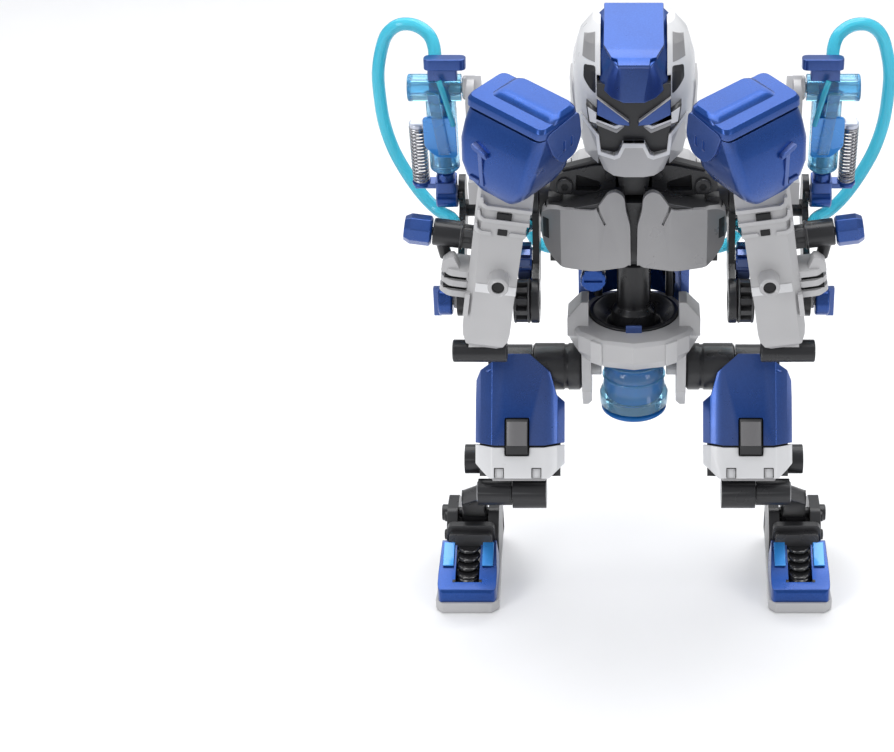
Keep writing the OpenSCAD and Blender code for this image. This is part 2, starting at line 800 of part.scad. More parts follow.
placed() pelvis_ring();
placed() pelvis_bowl();
placed() waist_guards();
placed() reservoir();
placed() reservoir_cap();
placed() hip_barrels();
placed() chest_frame();
placed() chest_plate(LEFT);  // chest_plate_left
placed() chest_plate(RIGHT);  // chest_plate_right
placed() shoulder_yoke();
placed() back_cover();
placed() valve_knob();
placed() back_tubes();
placed() helmet_shell();
placed() helmet_crest();
placed() face_plate();
placed() jaw_guard();
placed() eye_trim();
placed() arm_frame(LEFT);  // left_arm_frame
placed() elbow_gear(LEFT);  // left_elbow_gear
placed() elbow_drum(LEFT);  // left_elbow_drum
placed() forearm_shell(LEFT);  // left_forearm_shell
placed() side_bracket(LEFT);  // left_side_bracket
placed() side_knob(LEFT);  // left_side_knob
placed() elbow_knob(LEFT);  // left_elbow_knob
placed() glove_shell(LEFT);  // left_glove_shell
placed() glove_cap(LEFT);  // left_glove_cap
placed() cylinder_unit(LEFT);  // left_cylinder
placed() piston_rod(LEFT);  // left_piston_rod
placed() return_spring(LEFT);  // left_return_spring
placed() loop_tube(LEFT);  // left_loop_tube
placed() elbow_tube(LEFT);  // left_elbow_tube
placed() arm_frame(RIGHT);  // right_arm_frame
placed() elbow_gear(RIGHT);  // right_elbow_gear
placed() elbow_drum(RIGHT);  // right_elbow_drum
placed() forearm_shell(RIGHT);  // right_forearm_shell
placed() side_bracket(RIGHT);  // right_side_bracket
placed() side_knob(RIGHT);  // right_side_knob
placed() elbow_knob(RIGHT);  // right_elbow_knob
placed() glove_shell(RIGHT);  // right_glove_shell
placed() glove_cap(RIGHT);  // right_glove_cap
placed() cylinder_unit(RIGHT);  // right_cylinder
placed() piston_rod(RIGHT);  // right_piston_rod
placed() return_spring(RIGHT);  // right_return_spring
placed() loop_tube(RIGHT);  // right_loop_tube
placed() elbow_tube(RIGHT);  // right_elbow_tube
placed() thigh_frame(LEFT);  // left_thigh_frame
placed() thigh_shell(LEFT);  // left_thigh_shell
placed() knee_guard(LEFT);  // left_knee_guard
placed() shin(LEFT);  // left_shin
placed() ankle_block(LEFT);  // left_ankle_block
placed() foot_shell(LEFT);  // left_foot_shell
placed() foot_sole(LEFT);  // left_foot_sole
placed() thigh_frame(RIGHT);  // right_thigh_frame
placed() thigh_shell(RIGHT);  // right_thigh_shell
placed() knee_guard(RIGHT);  // right_knee_guard
placed() shin(RIGHT);  // right_shin
placed() ankle_block(RIGHT);  // right_ankle_block
placed() foot_shell(RIGHT);  // right_foot_shell
placed() foot_sole(RIGHT);  // right_foot_sole
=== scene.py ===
"""The looks of the boxing humanoid robot kit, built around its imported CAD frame."""
import json
import math

import bmesh
import bpy
from mathutils import Matrix, Vector


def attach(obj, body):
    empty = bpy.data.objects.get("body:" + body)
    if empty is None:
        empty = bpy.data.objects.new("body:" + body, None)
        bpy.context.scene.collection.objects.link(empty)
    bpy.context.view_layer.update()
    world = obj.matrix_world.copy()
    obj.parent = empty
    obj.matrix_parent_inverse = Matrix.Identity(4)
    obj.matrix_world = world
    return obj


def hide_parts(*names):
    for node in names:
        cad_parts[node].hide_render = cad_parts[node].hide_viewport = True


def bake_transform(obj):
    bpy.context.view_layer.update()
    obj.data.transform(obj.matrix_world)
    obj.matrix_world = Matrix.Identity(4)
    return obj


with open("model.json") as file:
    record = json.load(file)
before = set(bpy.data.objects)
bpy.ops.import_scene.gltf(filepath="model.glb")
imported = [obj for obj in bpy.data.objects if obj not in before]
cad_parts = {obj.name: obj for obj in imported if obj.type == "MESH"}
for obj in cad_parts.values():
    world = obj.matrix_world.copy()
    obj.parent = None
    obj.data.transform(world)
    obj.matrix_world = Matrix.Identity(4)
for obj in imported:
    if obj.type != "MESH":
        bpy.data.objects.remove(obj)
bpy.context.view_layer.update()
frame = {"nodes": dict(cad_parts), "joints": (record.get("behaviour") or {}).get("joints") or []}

# ---------- places taken from the frame ----------
# Shapes are written in millimetres on the robot's left side, with y = 0 at the hip axis and z = 0 on the
# floor. The robot faces -y.
MM = 0.001
PIVOT = {j["name"]: Vector(j["pos_m"]) for j in frame["joints"] if "pos_m" in j}
HIP_Y = PIVOT["left_hip"].y


def local(joint):
    """A joint's place in the script's millimetres."""
    p = PIVOT[joint]
    return Vector((p.x, p.y - HIP_Y, p.z)) / MM


HIP = local("left_hip")
KNEE = local("left_knee")
ANKLE = local("left_ankle")
ELBOW = local("left_elbow")
GEAR = local("left_gear_turn")
SWIVEL = local("left_cylinder_swivel")
VALVE = local("valve_turn")
AXIS = {j["name"]: Vector(j["axis"]) for j in frame["joints"]}
BRACKET_AXIS = AXIS["left_side_nut_turn"]
STROKE_AXIS = AXIS["left_piston_stroke"]

THIGH_TILT = math.atan2(HIP.y - KNEE.y, HIP.z - KNEE.z)
FOREARM_LEAN = math.atan2(BRACKET_AXIS.z, BRACKET_AXIS.x)
ROD_LEAN = math.atan2(STROKE_AXIS.y, -STROKE_AXIS.z)
ROD_LEN = 50.01            # from the cylinder's pivot to the rod's eye
NECK_PIN = (0, 2, 188)
GLOVE_TILT = math.radians(14)
GLOVE_TURN = math.radians(40)
WRIST = Vector((42.5, -42, 188))
FOOT_X = 68


def at(place, *turns):
    """The frame of a sub-part: moved to a place, then turned about each (axis, angle) in order."""
    matrix = Matrix.Translation(place)
    for axis, angle in turns:
        matrix = matrix @ Matrix.Rotation(angle, 4, axis)
    return matrix


ROBOT = Matrix.Identity(4)
MIRROR = Matrix.Scale(-1, 4, (1, 0, 0))
SIDES = {"left": ROBOT, "right": MIRROR}
IN_THIGH = at(HIP, ("X", -THIGH_TILT))
IN_FOREARM = at(ELBOW, ("Y", -FOREARM_LEAN))
IN_GLOVE = at(WRIST, ("X", GLOVE_TILT), ("Z", GLOVE_TURN))
IN_CYLINDER = at(SWIVEL, ("X", ROD_LEAN))
IN_FOOT = at((FOOT_X, 0, 0))
TO_WORLD = Matrix.Translation((0, HIP_Y, 0)) @ Matrix.Scale(MM, 4)


def on_x_axis(place):
    """The point of a cross axis in the robot's middle plane."""
    return Vector((0, place.y, place.z))


HIP_LINE = on_x_axis(HIP)
KNEE_LINE = on_x_axis(KNEE)
ANKLE_LINE = on_x_axis(ANKLE)
ELBOW_LINE = on_x_axis(ELBOW)
GEAR_LINE = on_x_axis(GEAR)
SWIVEL_LINE = on_x_axis(SWIVEL)


# ---------- camera and studio ----------
CAMERA_LENS = 80.5
CAMERA_SENSOR = 36         # millimetres
CAMERA_ELEVATION = math.radians(27)
CAMERA_DISTANCE = 800
CAMERA_AIM = Vector((0, 0, 125))
SHIFT_X = -0.209
SHIFT_Y = -0.095
NEAR_LIMIT = 0.01          # metres
LIGHT_AIM = Vector((0, 0, 0.12))
SKY_COLOUR = (0.95, 0.97, 1, 1)
SKY_STRENGTH = 0.5


def make_camera():
    data = bpy.data.cameras.new("camera")
    data.lens = CAMERA_LENS
    data.sensor_width = CAMERA_SENSOR
    data.shift_x = SHIFT_X
    data.shift_y = SHIFT_Y
    data.clip_start = NEAR_LIMIT
    camera = bpy.data.objects.new("camera", data)
    bpy.context.scene.collection.objects.link(camera)
    back = Vector((0, -math.cos(CAMERA_ELEVATION), math.sin(CAMERA_ELEVATION)))
    camera.location = TO_WORLD @ (CAMERA_AIM + back * CAMERA_DISTANCE)
    camera.rotation_euler = (math.pi / 2 - CAMERA_ELEVATION, 0, 0)
    bpy.context.scene.camera = camera


def make_light(name, place, size, power):
    """A rectangular light that faces the robot. Its place and size are in metres."""
    data = bpy.data.lights.new(name, "AREA")
    data.shape = "RECTANGLE"
    data.size, data.size_y = size
    data.energy = power
    light = bpy.data.objects.new(name, data)
    bpy.context.scene.collection.objects.link(light)
    light.location = place
    light.rotation_euler = (LIGHT_AIM - Vector(place)).to_track_quat("-Z", "Y").to_euler()


def make_studio():
    scene = bpy.context.scene
    scene.view_settings.view_transform = "Standard"
    world = bpy.data.worlds.new("studio")
    scene.world = world
    world.use_nodes = True
    background = world.node_tree.nodes["Background"]
    background.inputs["Color"].default_value = SKY_COLOUR
    background.inputs["Strength"].default_value = SKY_STRENGTH
    make_light("overhead", (0, 0.05, 1.0), (0.8, 0.5), 4.5)
    make_light("front_left", (-0.8, -0.8, 0.7), (0.35, 0.7), 4)
    make_light("front_right", (0.9, -0.7, 0.55), (0.35, 0.7), 2.2)
    make_light("back", (0, 0.6, 0.95), (1.7, 0.7), 8)


# ---------- materials ----------
SHADE = 0.86               # how dark the drift goes, where a material gives no shade of its own
WORN_AND_LIT_PALER = 0.55          # how far worn edges, with the painted highlight on them, go towards white
GLOSS_SPREAD = 0.15
COAT_ROUGHNESS = 0.06
DRIFT_SCALE = 28           # noise scales are in cycles per metre
GLOSS_SCALE = 90
BUMP_DISTANCE = 0.0004
EDGE_START = 0.53          # pointiness where an edge begins to look worn and to carry a painted highlight
EDGE_FULL = 0.62


def make_material(name, colour, roughness, metallic=0.0, coat=0.0, fleck=0.0, fleck_size=1500,
                  grain=0.02, grain_size=900, wear_and_highlight=0.0, shade=None, **extra):
    """A moulded or metal finish: colour drift, fine surface grain, uneven gloss and paler edges, partly wear
    and partly painted highlight.
    """
    material = bpy.data.materials.new(name)
    material.use_nodes = True
    nodes = material.node_tree.nodes
    links = material.node_tree.links

    def fill(node, **inputs):
        """Sets a node's inputs, each to a value or to another node's output."""
        for socket, value in inputs.items():
            target = node.inputs[socket.replace("_", " ")]
            if isinstance(value, bpy.types.NodeSocket):
                links.new(value, target)
            else:
                target.default_value = value
        return node

    def add(kind, **inputs):
        return fill(nodes.new("ShaderNode" + kind), **inputs)

    place = add("TexCoord").outputs["Object"]

    def noise(scale, detail):
        return add("TexNoise", Scale=scale, Detail=detail, Vector=place).outputs["Fac"]

    def spread(source, low, high, start=0.3, end=0.7):
        """The source's values from start to end, spread over low to high."""
        return add("MapRange", From_Min=start, From_Max=end, To_Min=low, To_Max=high,
                   Value=source).outputs["Result"]

    def mixed(factor, first, second):
        node = nodes.new("ShaderNodeMix")
        node.data_type = "RGBA"
        return fill(node, Factor=factor, A=first, B=second).outputs["Result"]

    dark = shade or tuple(c * SHADE for c in colour)
    tint = mixed(spread(noise(DRIFT_SCALE, 3), 0, 1), (*dark, 1), (*colour, 1))
    if fleck:
        bright = tuple(min(1, c * 1.7 + 0.02) for c in colour)
        tint = mixed(spread(noise(fleck_size, 1), 0, fleck), tint, (*bright, 1))
    # Paler edges where pointiness is high: partly wear, partly a painted highlight where the edges catch the
    # light.
    if wear_and_highlight:
        edges = add("NewGeometry").outputs["Pointiness"]
        worn_and_lit = tuple(c + (1 - c) * WORN_AND_LIT_PALER for c in colour)
        tint = mixed(spread(edges, 0, wear_and_highlight, EDGE_START, EDGE_FULL), tint, (*worn_and_lit, 1))
    gloss = spread(noise(GLOSS_SCALE, 4), roughness * (1 - GLOSS_SPREAD), roughness * (1 + GLOSS_SPREAD))
    bump = add("Bump", Strength=grain, Distance=BUMP_DISTANCE, Height=noise(grain_size, 2))
    fill(nodes["Principled BSDF"], Metallic=metallic, Coat_Weight=coat, Coat_Roughness=COAT_ROUGHNESS,
         Base_Color=tint, Roughness=gloss, Normal=bump.outputs["Normal"], **extra)
    return material


BLUE = make_material("pearl_blue", (0.006, 0.06, 0.29), 0.3, metallic=0.7, coat=0.3, fleck=0.16,
                     wear_and_highlight=0.22, shade=(0.004, 0.045, 0.23))
SKY = make_material("sky_blue", (0.03, 0.27, 0.75), 0.26, metallic=0.35, coat=1.0, fleck=0.12,
                    fleck_size=4200)
PALE = make_material("pale_plastic", (0.5, 0.495, 0.5), 0.34, grain=0.05, wear_and_highlight=0.35, coat=0.15)
WHITE = make_material("white_plastic", (0.8, 0.8, 0.81), 0.32, grain=0.05, wear_and_highlight=0.2, coat=0.2)
GREY = make_material("grey_plastic", (0.3, 0.295, 0.3), 0.32, metallic=0.15, grain=0.06, wear_and_highlight=0.4, coat=0.2)
BLACK = make_material("black_plastic", (0.016, 0.016, 0.018), 0.3, grain=0.08, wear_and_highlight=0.1,
                      shade=(0.014, 0.014, 0.016))
DARK = make_material("dark_grey", (0.12, 0.115, 0.12), 0.34, grain=0.06, wear_and_highlight=0.3)
GLOSS = make_material("gloss_black", (0.018, 0.018, 0.02), 0.16, grain=0.03, wear_and_highlight=0.1, coat=1.0)
# Painted shade: a near-black sheet set into gaps, slots, holes and recesses where shade falls.
SHADOW = make_material("painted_recess_shade", (0.006, 0.006, 0.007), 0.6, grain=0.1)
CLEAR = make_material("clear_blue", (0.36, 0.78, 0.96), 0.05, grain=0.01, shade=(0.34, 0.68, 0.94),
                      Transmission_Weight=0.85, IOR=1.46)
FLUID = make_material("blue_fluid", (0.03, 0.25, 0.7), 0.12, grain=0.02, shade=(0.02, 0.17, 0.55),
                      Transmission_Weight=0.45, IOR=1.34)
ROD = make_material("rod_white", (0.66, 0.69, 0.8), 0.2, metallic=0.3, coat=0.4, grain=0.02, wear_and_highlight=0.2)
TUBE = make_material("cyan_tube", (0.1, 0.7, 0.88), 0.08, grain=0.01, shade=(0.07, 0.62, 0.82),
                     Transmission_Weight=0.5, IOR=1.42)
WIRE = make_material("spring_wire", (0.3, 0.3, 0.32), 0.14, metallic=1.0, grain=0.03,
                     shade=(0.5, 0.5, 0.52))
STEEL = make_material("screw_steel", (0.16, 0.16, 0.17), 0.28, metallic=0.9, grain=0.05, wear_and_highlight=0.4)
FLOOR = make_material("studio_floor", (0.93, 0.93, 0.94), 0.5, grain=0.02, shade=(0.92, 0.92, 0.93))


# ---------- mesh tools, in millimetres ----------
SOFT_EDGE = 0.4            # the softening of a round bar's ends


def mesh_of(points, faces):
    mesh = bpy.data.meshes.new("shape")
    mesh.from_pydata([tuple(p) for p in points], [], faces)
    shape = bmesh.new()
    shape.from_mesh(mesh)
    bmesh.ops.recalc_face_normals(shape, faces=shape.faces)
    shape.to_mesh(mesh)
    shape.free()
    return mesh


def ring_faces(rings, count, loop=False):
    """Quads between rings of count points each. They join up in a loop, or end in flat faces."""
    faces = []
    for i in range(rings if loop else rings - 1):
        low = i * count
        high = (i + 1) % rings * count
        for k in range(count):
            step = (k + 1) % count
            faces.append((low + k, low + step, high + step, high + k))
    if not loop:
        faces.append(tuple(range(count - 1, -1, -1)))
        faces.append(tuple(range((rings - 1) * count, rings * count)))
    return faces


def loft(rings):
    """A closed solid through rings that all have the same number of points."""
    return mesh_of([p for ring in rings for p in ring], ring_faces(len(rings), len(rings[0])))


def axis_point(axis, a, b, along):
    """The point at (a, b) across an axis and at a distance along it."""
    return {"x": (along, a, b), "y": (a, along, b), "z": (a, b, along)}[axis]


def prism(axis, outline, low, high, corner=0, steps=4):
    """An outline extruded along an axis: (y, z) along X, (x, z) along Y or (x, y) along Z."""
    if corner:
        outline = rounded(outline, corner, steps)
    return loft([[axis_point(axis, a, b, t) for a, b in outline] for t in (low, high)])


def slab(x0, x1, y0, y1, z0, z1, corner=0):
    """A block. A corner radius rounds its upright edges."""
    return prism("z", [(x0, y0), (x1, y0), (x1, y1), (x0, y1)], z0, z1, corner)


def turned_rings(profile, axis, centre, steps):
    """A ring of points round the axis for each (radius, distance along the axis) in the profile."""
    rings = []
    for radius, distance in profile:
        ring = []
        for k in range(steps):
            angle = 2 * math.pi * k / steps
            point = axis_point(axis, radius * math.cos(angle), radius * math.sin(angle), distance)
            ring.append(Vector(point) + Vector(centre))
        rings.append(ring)
    return rings


def lathe(profile, axis="z", centre=(0, 0, 0), steps=40):
    """A solid of revolution through the profile, with a flat face at each end."""
    return loft(turned_rings(profile, axis, centre, steps))


def rod(axis, low, high, radius, centre=(0, 0, 0), edge=SOFT_EDGE, steps=40):
    """A round bar with softened ends."""
    edge = min(edge, radius / 2, (high - low) / 3)
    profile = [(radius - edge, low), (radius - edge * 0.3, low + edge * 0.3), (radius, low + edge),
               (radius, high - edge), (radius - edge * 0.3, high - edge * 0.3), (radius - edge, high)]
    return lathe(profile, axis, centre, steps)


def bored(axis, low, high, outer, inner, centre=(0, 0, 0), steps=40):
    """A round tube with softened outer edges."""
    edge = min(SOFT_EDGE, (outer - inner) / 3)
    profile = [(inner, low), (outer - edge, low), (outer, low + edge), (outer, high - edge),
               (outer - edge, high), (inner, high)]
    points = sum(turned_rings(profile, axis, centre, steps), [])
    return mesh_of(points, ring_faces(len(profile), steps, loop=True))


def arc(centre, radius, start, end, steps=6):
    """Points on an arc, with angles in degrees."""
    points = []
    for i in range(steps + 1):
        angle = math.radians(start + (end - start) * i / steps)
        points.append((centre[0] + radius * math.cos(angle), centre[1] + radius * math.sin(angle)))
    return points


def rounded(outline, radius, steps=4):
    """The outline with each corner cut to a smooth curve of about the radius."""
    points = []
    count = len(outline)
    for i, corner in enumerate(outline):
        here = Vector(corner)
        before = Vector(outline[i - 1]) - here
        after = Vector(outline[(i + 1) % count]) - here
        reach = min(radius, before.length * 0.45, after.length * 0.45)
        start = here + before.normalized() * reach
        end = here + after.normalized() * reach
        for k in range(steps + 1):
            t = k / steps
            points.append(tuple(start * (1 - t) ** 2 + here * (2 * t * (1 - t)) + end * t ** 2))
    return points


def rounded_loft(rows, corner, steps=4):
    """A solid through level rounded rectangles, each given as (low x, high x, low y, high y, z)."""
    return loft([[(x, y, z) for x, y in rounded([(x0, y0), (x1, y0), (x1, y1), (x0, y1)], corner, steps)]
                 for x0, x1, y0, y1, z in rows])


def both_halves(half):
    """An outline and its mirror image in x as one closed outline."""
    return list(half) + [(-x, y) for x, y in reversed(half) if x != 0]


def link(low, high, a, b, radius, steps=12):
    """A flat bar along X with round ends between two (y, z) points."""
    heading = math.degrees(math.atan2(b[1] - a[1], b[0] - a[0]))
    outline = arc(a, radius, heading + 90, heading + 270, steps)
    outline += arc(b, radius, heading - 90, heading + 90, steps)
    return prism("x", outline, low, high)


def smooth_path(points, per_span=4):
    """Points on a smooth curve through the given points."""
    path = []
    last = len(points) - 1
    for i in range(last):
        p0, p1 = Vector(points[max(i - 1, 0)]), Vector(points[i])
        p2, p3 = Vector(points[i + 1]), Vector(points[min(i + 2, last)])
        for k in range(per_span):
            t = k / per_span
            path.append(0.5 * (2 * p1 + (p2 - p0) * t + (2 * p0 - 5 * p1 + 4 * p2 - p3) * t * t
                               + (3 * p1 - 3 * p2 + p3 - p0) * t ** 3))
    path.append(Vector(points[last]))
    return path


def sweep(path, radius, sides=14):
    """A round bar along a path. The section is carried along without twist."""
    rings = []
    across = None
    for i, point in enumerate(path):
        ahead = (path[min(i + 1, len(path) - 1)] - path[max(i - 1, 0)]).normalized()
        if across is None:
            across = ahead.orthogonal().normalized()
        across = (across - ahead * across.dot(ahead)).normalized()
        side = ahead.cross(across)
        ring = []
        for k in range(sides):
            angle = 2 * math.pi * k / sides
            ring.append(point + across * (radius * math.cos(angle)) + side * (radius * math.sin(angle)))
        rings.append(ring)
    return loft(rings)


def moved(mesh, matrix):
    """A copy of the mesh, with its faces still outward after a mirror."""
    copy = mesh.copy()
    copy.transform(matrix)
    if matrix.is_negative:
        copy.flip_normals()
    return copy


def joined(*meshes):
    """Several meshes as one."""
    shape = bmesh.new()
    for mesh in meshes:
        shape.from_mesh(mesh)
    whole = bpy.data.meshes.new("shape")
    shape.to_mesh(whole)
    shape.free()
    return whole


def mirrored(half):
    """A mesh together with its mirror image in x."""
    return joined(half, moved(half, MIRROR))


def boolean(base, others, operation):
    """The mesh of base after a boolean with each of the others."""
    result = base
    for other in others:
        first = bpy.data.objects.new("first", result)
        second = bpy.data.objects.new("second", other)
        for thing in (first, second):
            bpy.context.scene.collection.objects.link(thing)
        modifier = first.modifiers.new("boolean", "BOOLEAN")
        modifier.operation = operation
        modifier.solver = "EXACT"
        modifier.object = second
        graph = bpy.context.evaluated_depsgraph_get()
        result = bpy.data.meshes.new_from_object(first.evaluated_get(graph))
        bpy.data.objects.remove(first)
        bpy.data.objects.remove(second)
    return result


def cut(base, *others):
    return boolean(base, others, "DIFFERENCE")


def common(base, *others):
    return boolean(base, others, "INTERSECT")


# ---------- pieces ----------
CREASE_ANGLE = math.radians(11)
BEVEL_ANGLE = math.radians(28)
WELD_DISTANCE = 0.01 * MM
# A piece with the name of a CAD node takes that node's place. These two take one with another name.
REPLACED_NODE = {"crest_body": "helmet_crest", "left_back_tube": "back_tubes"}


def crisp_creases(mesh):
    """Shallow creases between flat facets stay sharp. Steeper ones are rounded by the bevel."""
    shape = bmesh.new()
    shape.from_mesh(mesh)
    for edge in shape.edges:
        if len(edge.link_faces) == 2 and CREASE_ANGLE < edge.calc_face_angle() < BEVEL_ANGLE:
            edge.smooth = False
    shape.to_mesh(mesh)
    shape.free()


def finish_surface(piece, material, bevel, keep_sharp):
    """One material, smooth faces, a narrow bevel on the edges and evened-out shading."""
    piece.data.materials.clear()
    piece.data.materials.append(material)
    for polygon in piece.data.polygons:
        polygon.use_smooth = True
    if bevel:
        edge = piece.modifiers.new("edges", "BEVEL")
        edge.width = bevel * MM
        edge.segments = 2
        edge.limit_method = "ANGLE"
        edge.angle_limit = BEVEL_ANGLE
    shading = piece.modifiers.new("shading", "WEIGHTED_NORMAL")
    shading.keep_sharp = keep_sharp
    shading.weight = 90


def place_piece(name, mesh, body, material, bevel=0.35, soft=False):
    """A finished piece of the visual model. A soft one keeps no sharp creases."""
    if not soft:
        crisp_creases(mesh)
    piece = bpy.data.objects.new(name, mesh)
    bpy.context.scene.collection.objects.link(piece)
    finish_surface(piece, material, bevel, keep_sharp=True)
    if body:
        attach(piece, body)
    node = REPLACED_NODE.get(name, name)
    if node in frame["nodes"]:
        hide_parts(node)
    return piece


def single(name, mesh, body, material, bevel=0.35, within=ROBOT, soft=False):
    """One piece on the robot's own middle, or on one side only."""
    place_piece(name, moved(mesh, TO_WORLD @ within), body, material, bevel, soft)


def pair(name, mesh, body, material, bevel=0.35, within=ROBOT, soft=False):
    """The same piece on the left and, mirrored, on the right."""
    for side, turn in SIDES.items():
        place_piece(f"{side}_{name}", moved(mesh, TO_WORLD @ turn @ within), f"{side}_{body}", material,
                    bevel, soft)


def keep_node(name, material, bevel):
    """A CAD node whose shape is right keeps its mesh, and gets soft edges and a finish."""
    node = frame["nodes"][name]
    weld = node.modifiers.new("weld", "WELD")
    weld.merge_threshold = WELD_DISTANCE
    finish_surface(node, material, bevel, keep_sharp=False)


def keep_pair(name, material, bevel):
    """The same for a node of the left side and its fellow on the right."""
    for side in SIDES:
        keep_node(f"{side}_{name}", material, bevel)


# ---------- pelvis and waist ----------
RING_LOW = 103
RING_TOP = 116
RING_PLAN = [(0, -29), (13, -26), (22, -18), (26, -6), (25, 10), (17, 19)]
BOWL_R = 18
RESERVOIR = (0, -7, 0)


def plan_ring(scale, z):
    """The pelvis ring's plan at a height."""
    return [(x * scale, y * scale, z) for x, y in both_halves(RING_PLAN)]


def make_pelvis_ring():
    body = loft([plan_ring(0.88, RING_LOW), plan_ring(1, 107.5), plan_ring(1, 114.6),
                 plan_ring(0.95, RING_TOP)])
    body = cut(body, rod("z", 105.5, 125, BOWL_R, steps=64))
    horn = common(
        prism("x", [(-14, 112), (2, 112), (0, 125), (-10, 125)], 17, 28),
        prism("y", [(18, 112), (18, 125), (21, 125), (26.4, 119), (26.4, 112)], -20, 10))
    plate = common(
        prism("x", [(-14, 105), (12, 105), (12, 86), (-4, 75), (-13, 86)], 16, 20.9),
        prism("y", [(20.9, 106), (20.9, 75), (18.6, 75), (17, 78), (17, 106)], -20, 20))
    boss = rod("x", 13, 18, 3, (0, -7, 94))
    tab = prism("z", [(12.2, -25.4), (12.7, -27), (17.2, -23.8), (16.6, -22.3)], 105.5, 115.2)
    side = joined(horn, plate, boss, tab)
    single("pelvis_ring", joined(body, mirrored(side)), "pelvis", PALE, 0.5)


def make_bowl():
    """The bowl with the waist column in its middle."""
    profile = [(15.6, 106), (17.8, 110), (17.8, 116.6), (16.4, 117), (15.6, 116.4), (11, 111.5), (9.4, 112),
               (8.6, 117.5), (7, 119.4), (6.8, 121), (6.8, 138.6), (6.2, 139.4), (5.6, 139.6), (5.6, 150.6)]
    single("pelvis_bowl", lathe(profile, steps=64), "pelvis", BLACK, 0.2)


def make_waist_guards():
    keep_node("waist_guards", BLUE, 0.4)
    # The windows are near-black sheets: painted shade in the guard's openings.
    window = prism("x", arc((0, 0), 4.3, 0, 300, 5), 20.2, 21.8)
    window = moved(window, at((0, 0, 125.5), ("Z", math.radians(43))))
    single("guard_window_shadows", mirrored(window), "pelvis", SHADOW, 0)
    single("pelvis_tab", slab(-3.2, 3.2, -18.9, -17.4, 113, 119), "pelvis", BLUE, 0.4)


def make_reservoir():
    glass = [(13.2, 78.6), (13.8, 79.2), (13.8, 83.4), (12.6, 86.6), (12, 92), (12.3, 102.7)]
    single("reservoir", lathe(glass, "z", RESERVOIR, 64), "pelvis", CLEAR, 0)
    fluid = [(7.6, 80.6), (8.2, 81.2), (8.2, 98), (7.4, 98.4)]
    single("reservoir_fluid", lathe(fluid, "z", RESERVOIR, 64), "pelvis", FLUID, 0)
    cap = [(1, 72.4), (4, 73.2), (12.4, 75.6), (13.2, 76.4), (13.2, 78.3)]
    single("reservoir_cap", lathe(cap, "z", RESERVOIR, 64), "pelvis", FLUID, 0)
    bands = [bored("z", z, z + 0.9, 12.7, 12, RESERVOIR, 64) for z in (91, 98)]
    single("reservoir_bands", joined(*bands), "pelvis", CLEAR, 0)


def make_hip_barrels():
    profile = [(8.4, 21.1), (9.6, 22), (9.6, 26.4), (9.1, 26.8), (9.1, 28), (9.6, 28.4), (9.6, 40),
               (8.7, 40.9)]
    barrel = lathe(profile, "x", HIP_LINE, 56)
    pin = rod("x", 40, 57, 5, HIP_LINE)
    head = rod("x", 57, 59, 7, HIP_LINE)
    single("hip_barrels", mirrored(joined(barrel, pin, head)), "pelvis", BLACK, 0)


# ---------- torso ----------
CHEST_LOW = 146.4
CHEST_FRONT = [(0, -21.6), (14, -23.6), (28, -22), (36.9, -12)]
CHEST_PLAN = CHEST_FRONT + [(36.9, -7), (34.5, -7), (34.5, -10), (27, -19.6), (14, -21.6), (0, -17.6)]
SCREW_R = 1.9
VALVE_R = 5
VALVE_NOTCHES = 10


def chest_front_y(x):
    """Where the chest plates' outer face lies at a distance from the middle."""
    for (x0, y0), (x1, y1) in zip(CHEST_FRONT, CHEST_FRONT[1:]):
        if x0 <= x <= x1:
            return y0 + (y1 - y0) * (x - x0) / (x1 - x0)
    return CHEST_FRONT[-1][1]


def make_chest():
    keep_node("chest_frame", BLACK, 0.3)
    outline = [(2, CHEST_LOW + 1), (3.5, CHEST_LOW), (17, CHEST_LOW - 1), (27, CHEST_LOW), (31, 148.5),
               (34.6, 152.5), (36, 158), (35.6, 166), (33, 168.6), (28, 171), (14.6, 171), (12.5, 174.1),
               (9.8, 177.8), (6.8, 178.6), (3.6, 176.2), (3, 170), (1.4, 164), (1.2, 147)]
    plate = common(prism("y", outline, -30, 0, 1.8, 3), prism("z", CHEST_PLAN, 140, 185))
    groove = prism("y", [(13.6, 173.4), (10.6, 165.2), (11.3, 164.6), (14.6, 172.6)], -30, -22.2)
    plate = cut(plate, groove)
    # A near-black sheet in each plate's side slot: painted shade.
    slot = prism("z", [(32.8, chest_front_y(32.8) - 0.15), (35, chest_front_y(35) - 0.15),
                       (34.4, chest_front_y(35)), (32.2, chest_front_y(32.8))], 156.4, 164.6)
    for side, turn in SIDES.items():
        single(f"chest_plate_{side}", plate, "torso", GREY, 0.6, turn)
        single(f"chest_slot_shadow_{side}", slot, "torso", SHADOW, 0, turn)
    backing = common(
        prism("y", [(2.4, 147), (30, 147), (34, 156), (34, 168), (4, 176)], -30, 0),
        prism("z", [(0, -19), (14, -22.4), (27.4, -20.6), (34, -12.8), (34, -4), (0, -4)], 140, 185))
    single("chest_backing", mirrored(backing), "torso", BLACK, 0.4)


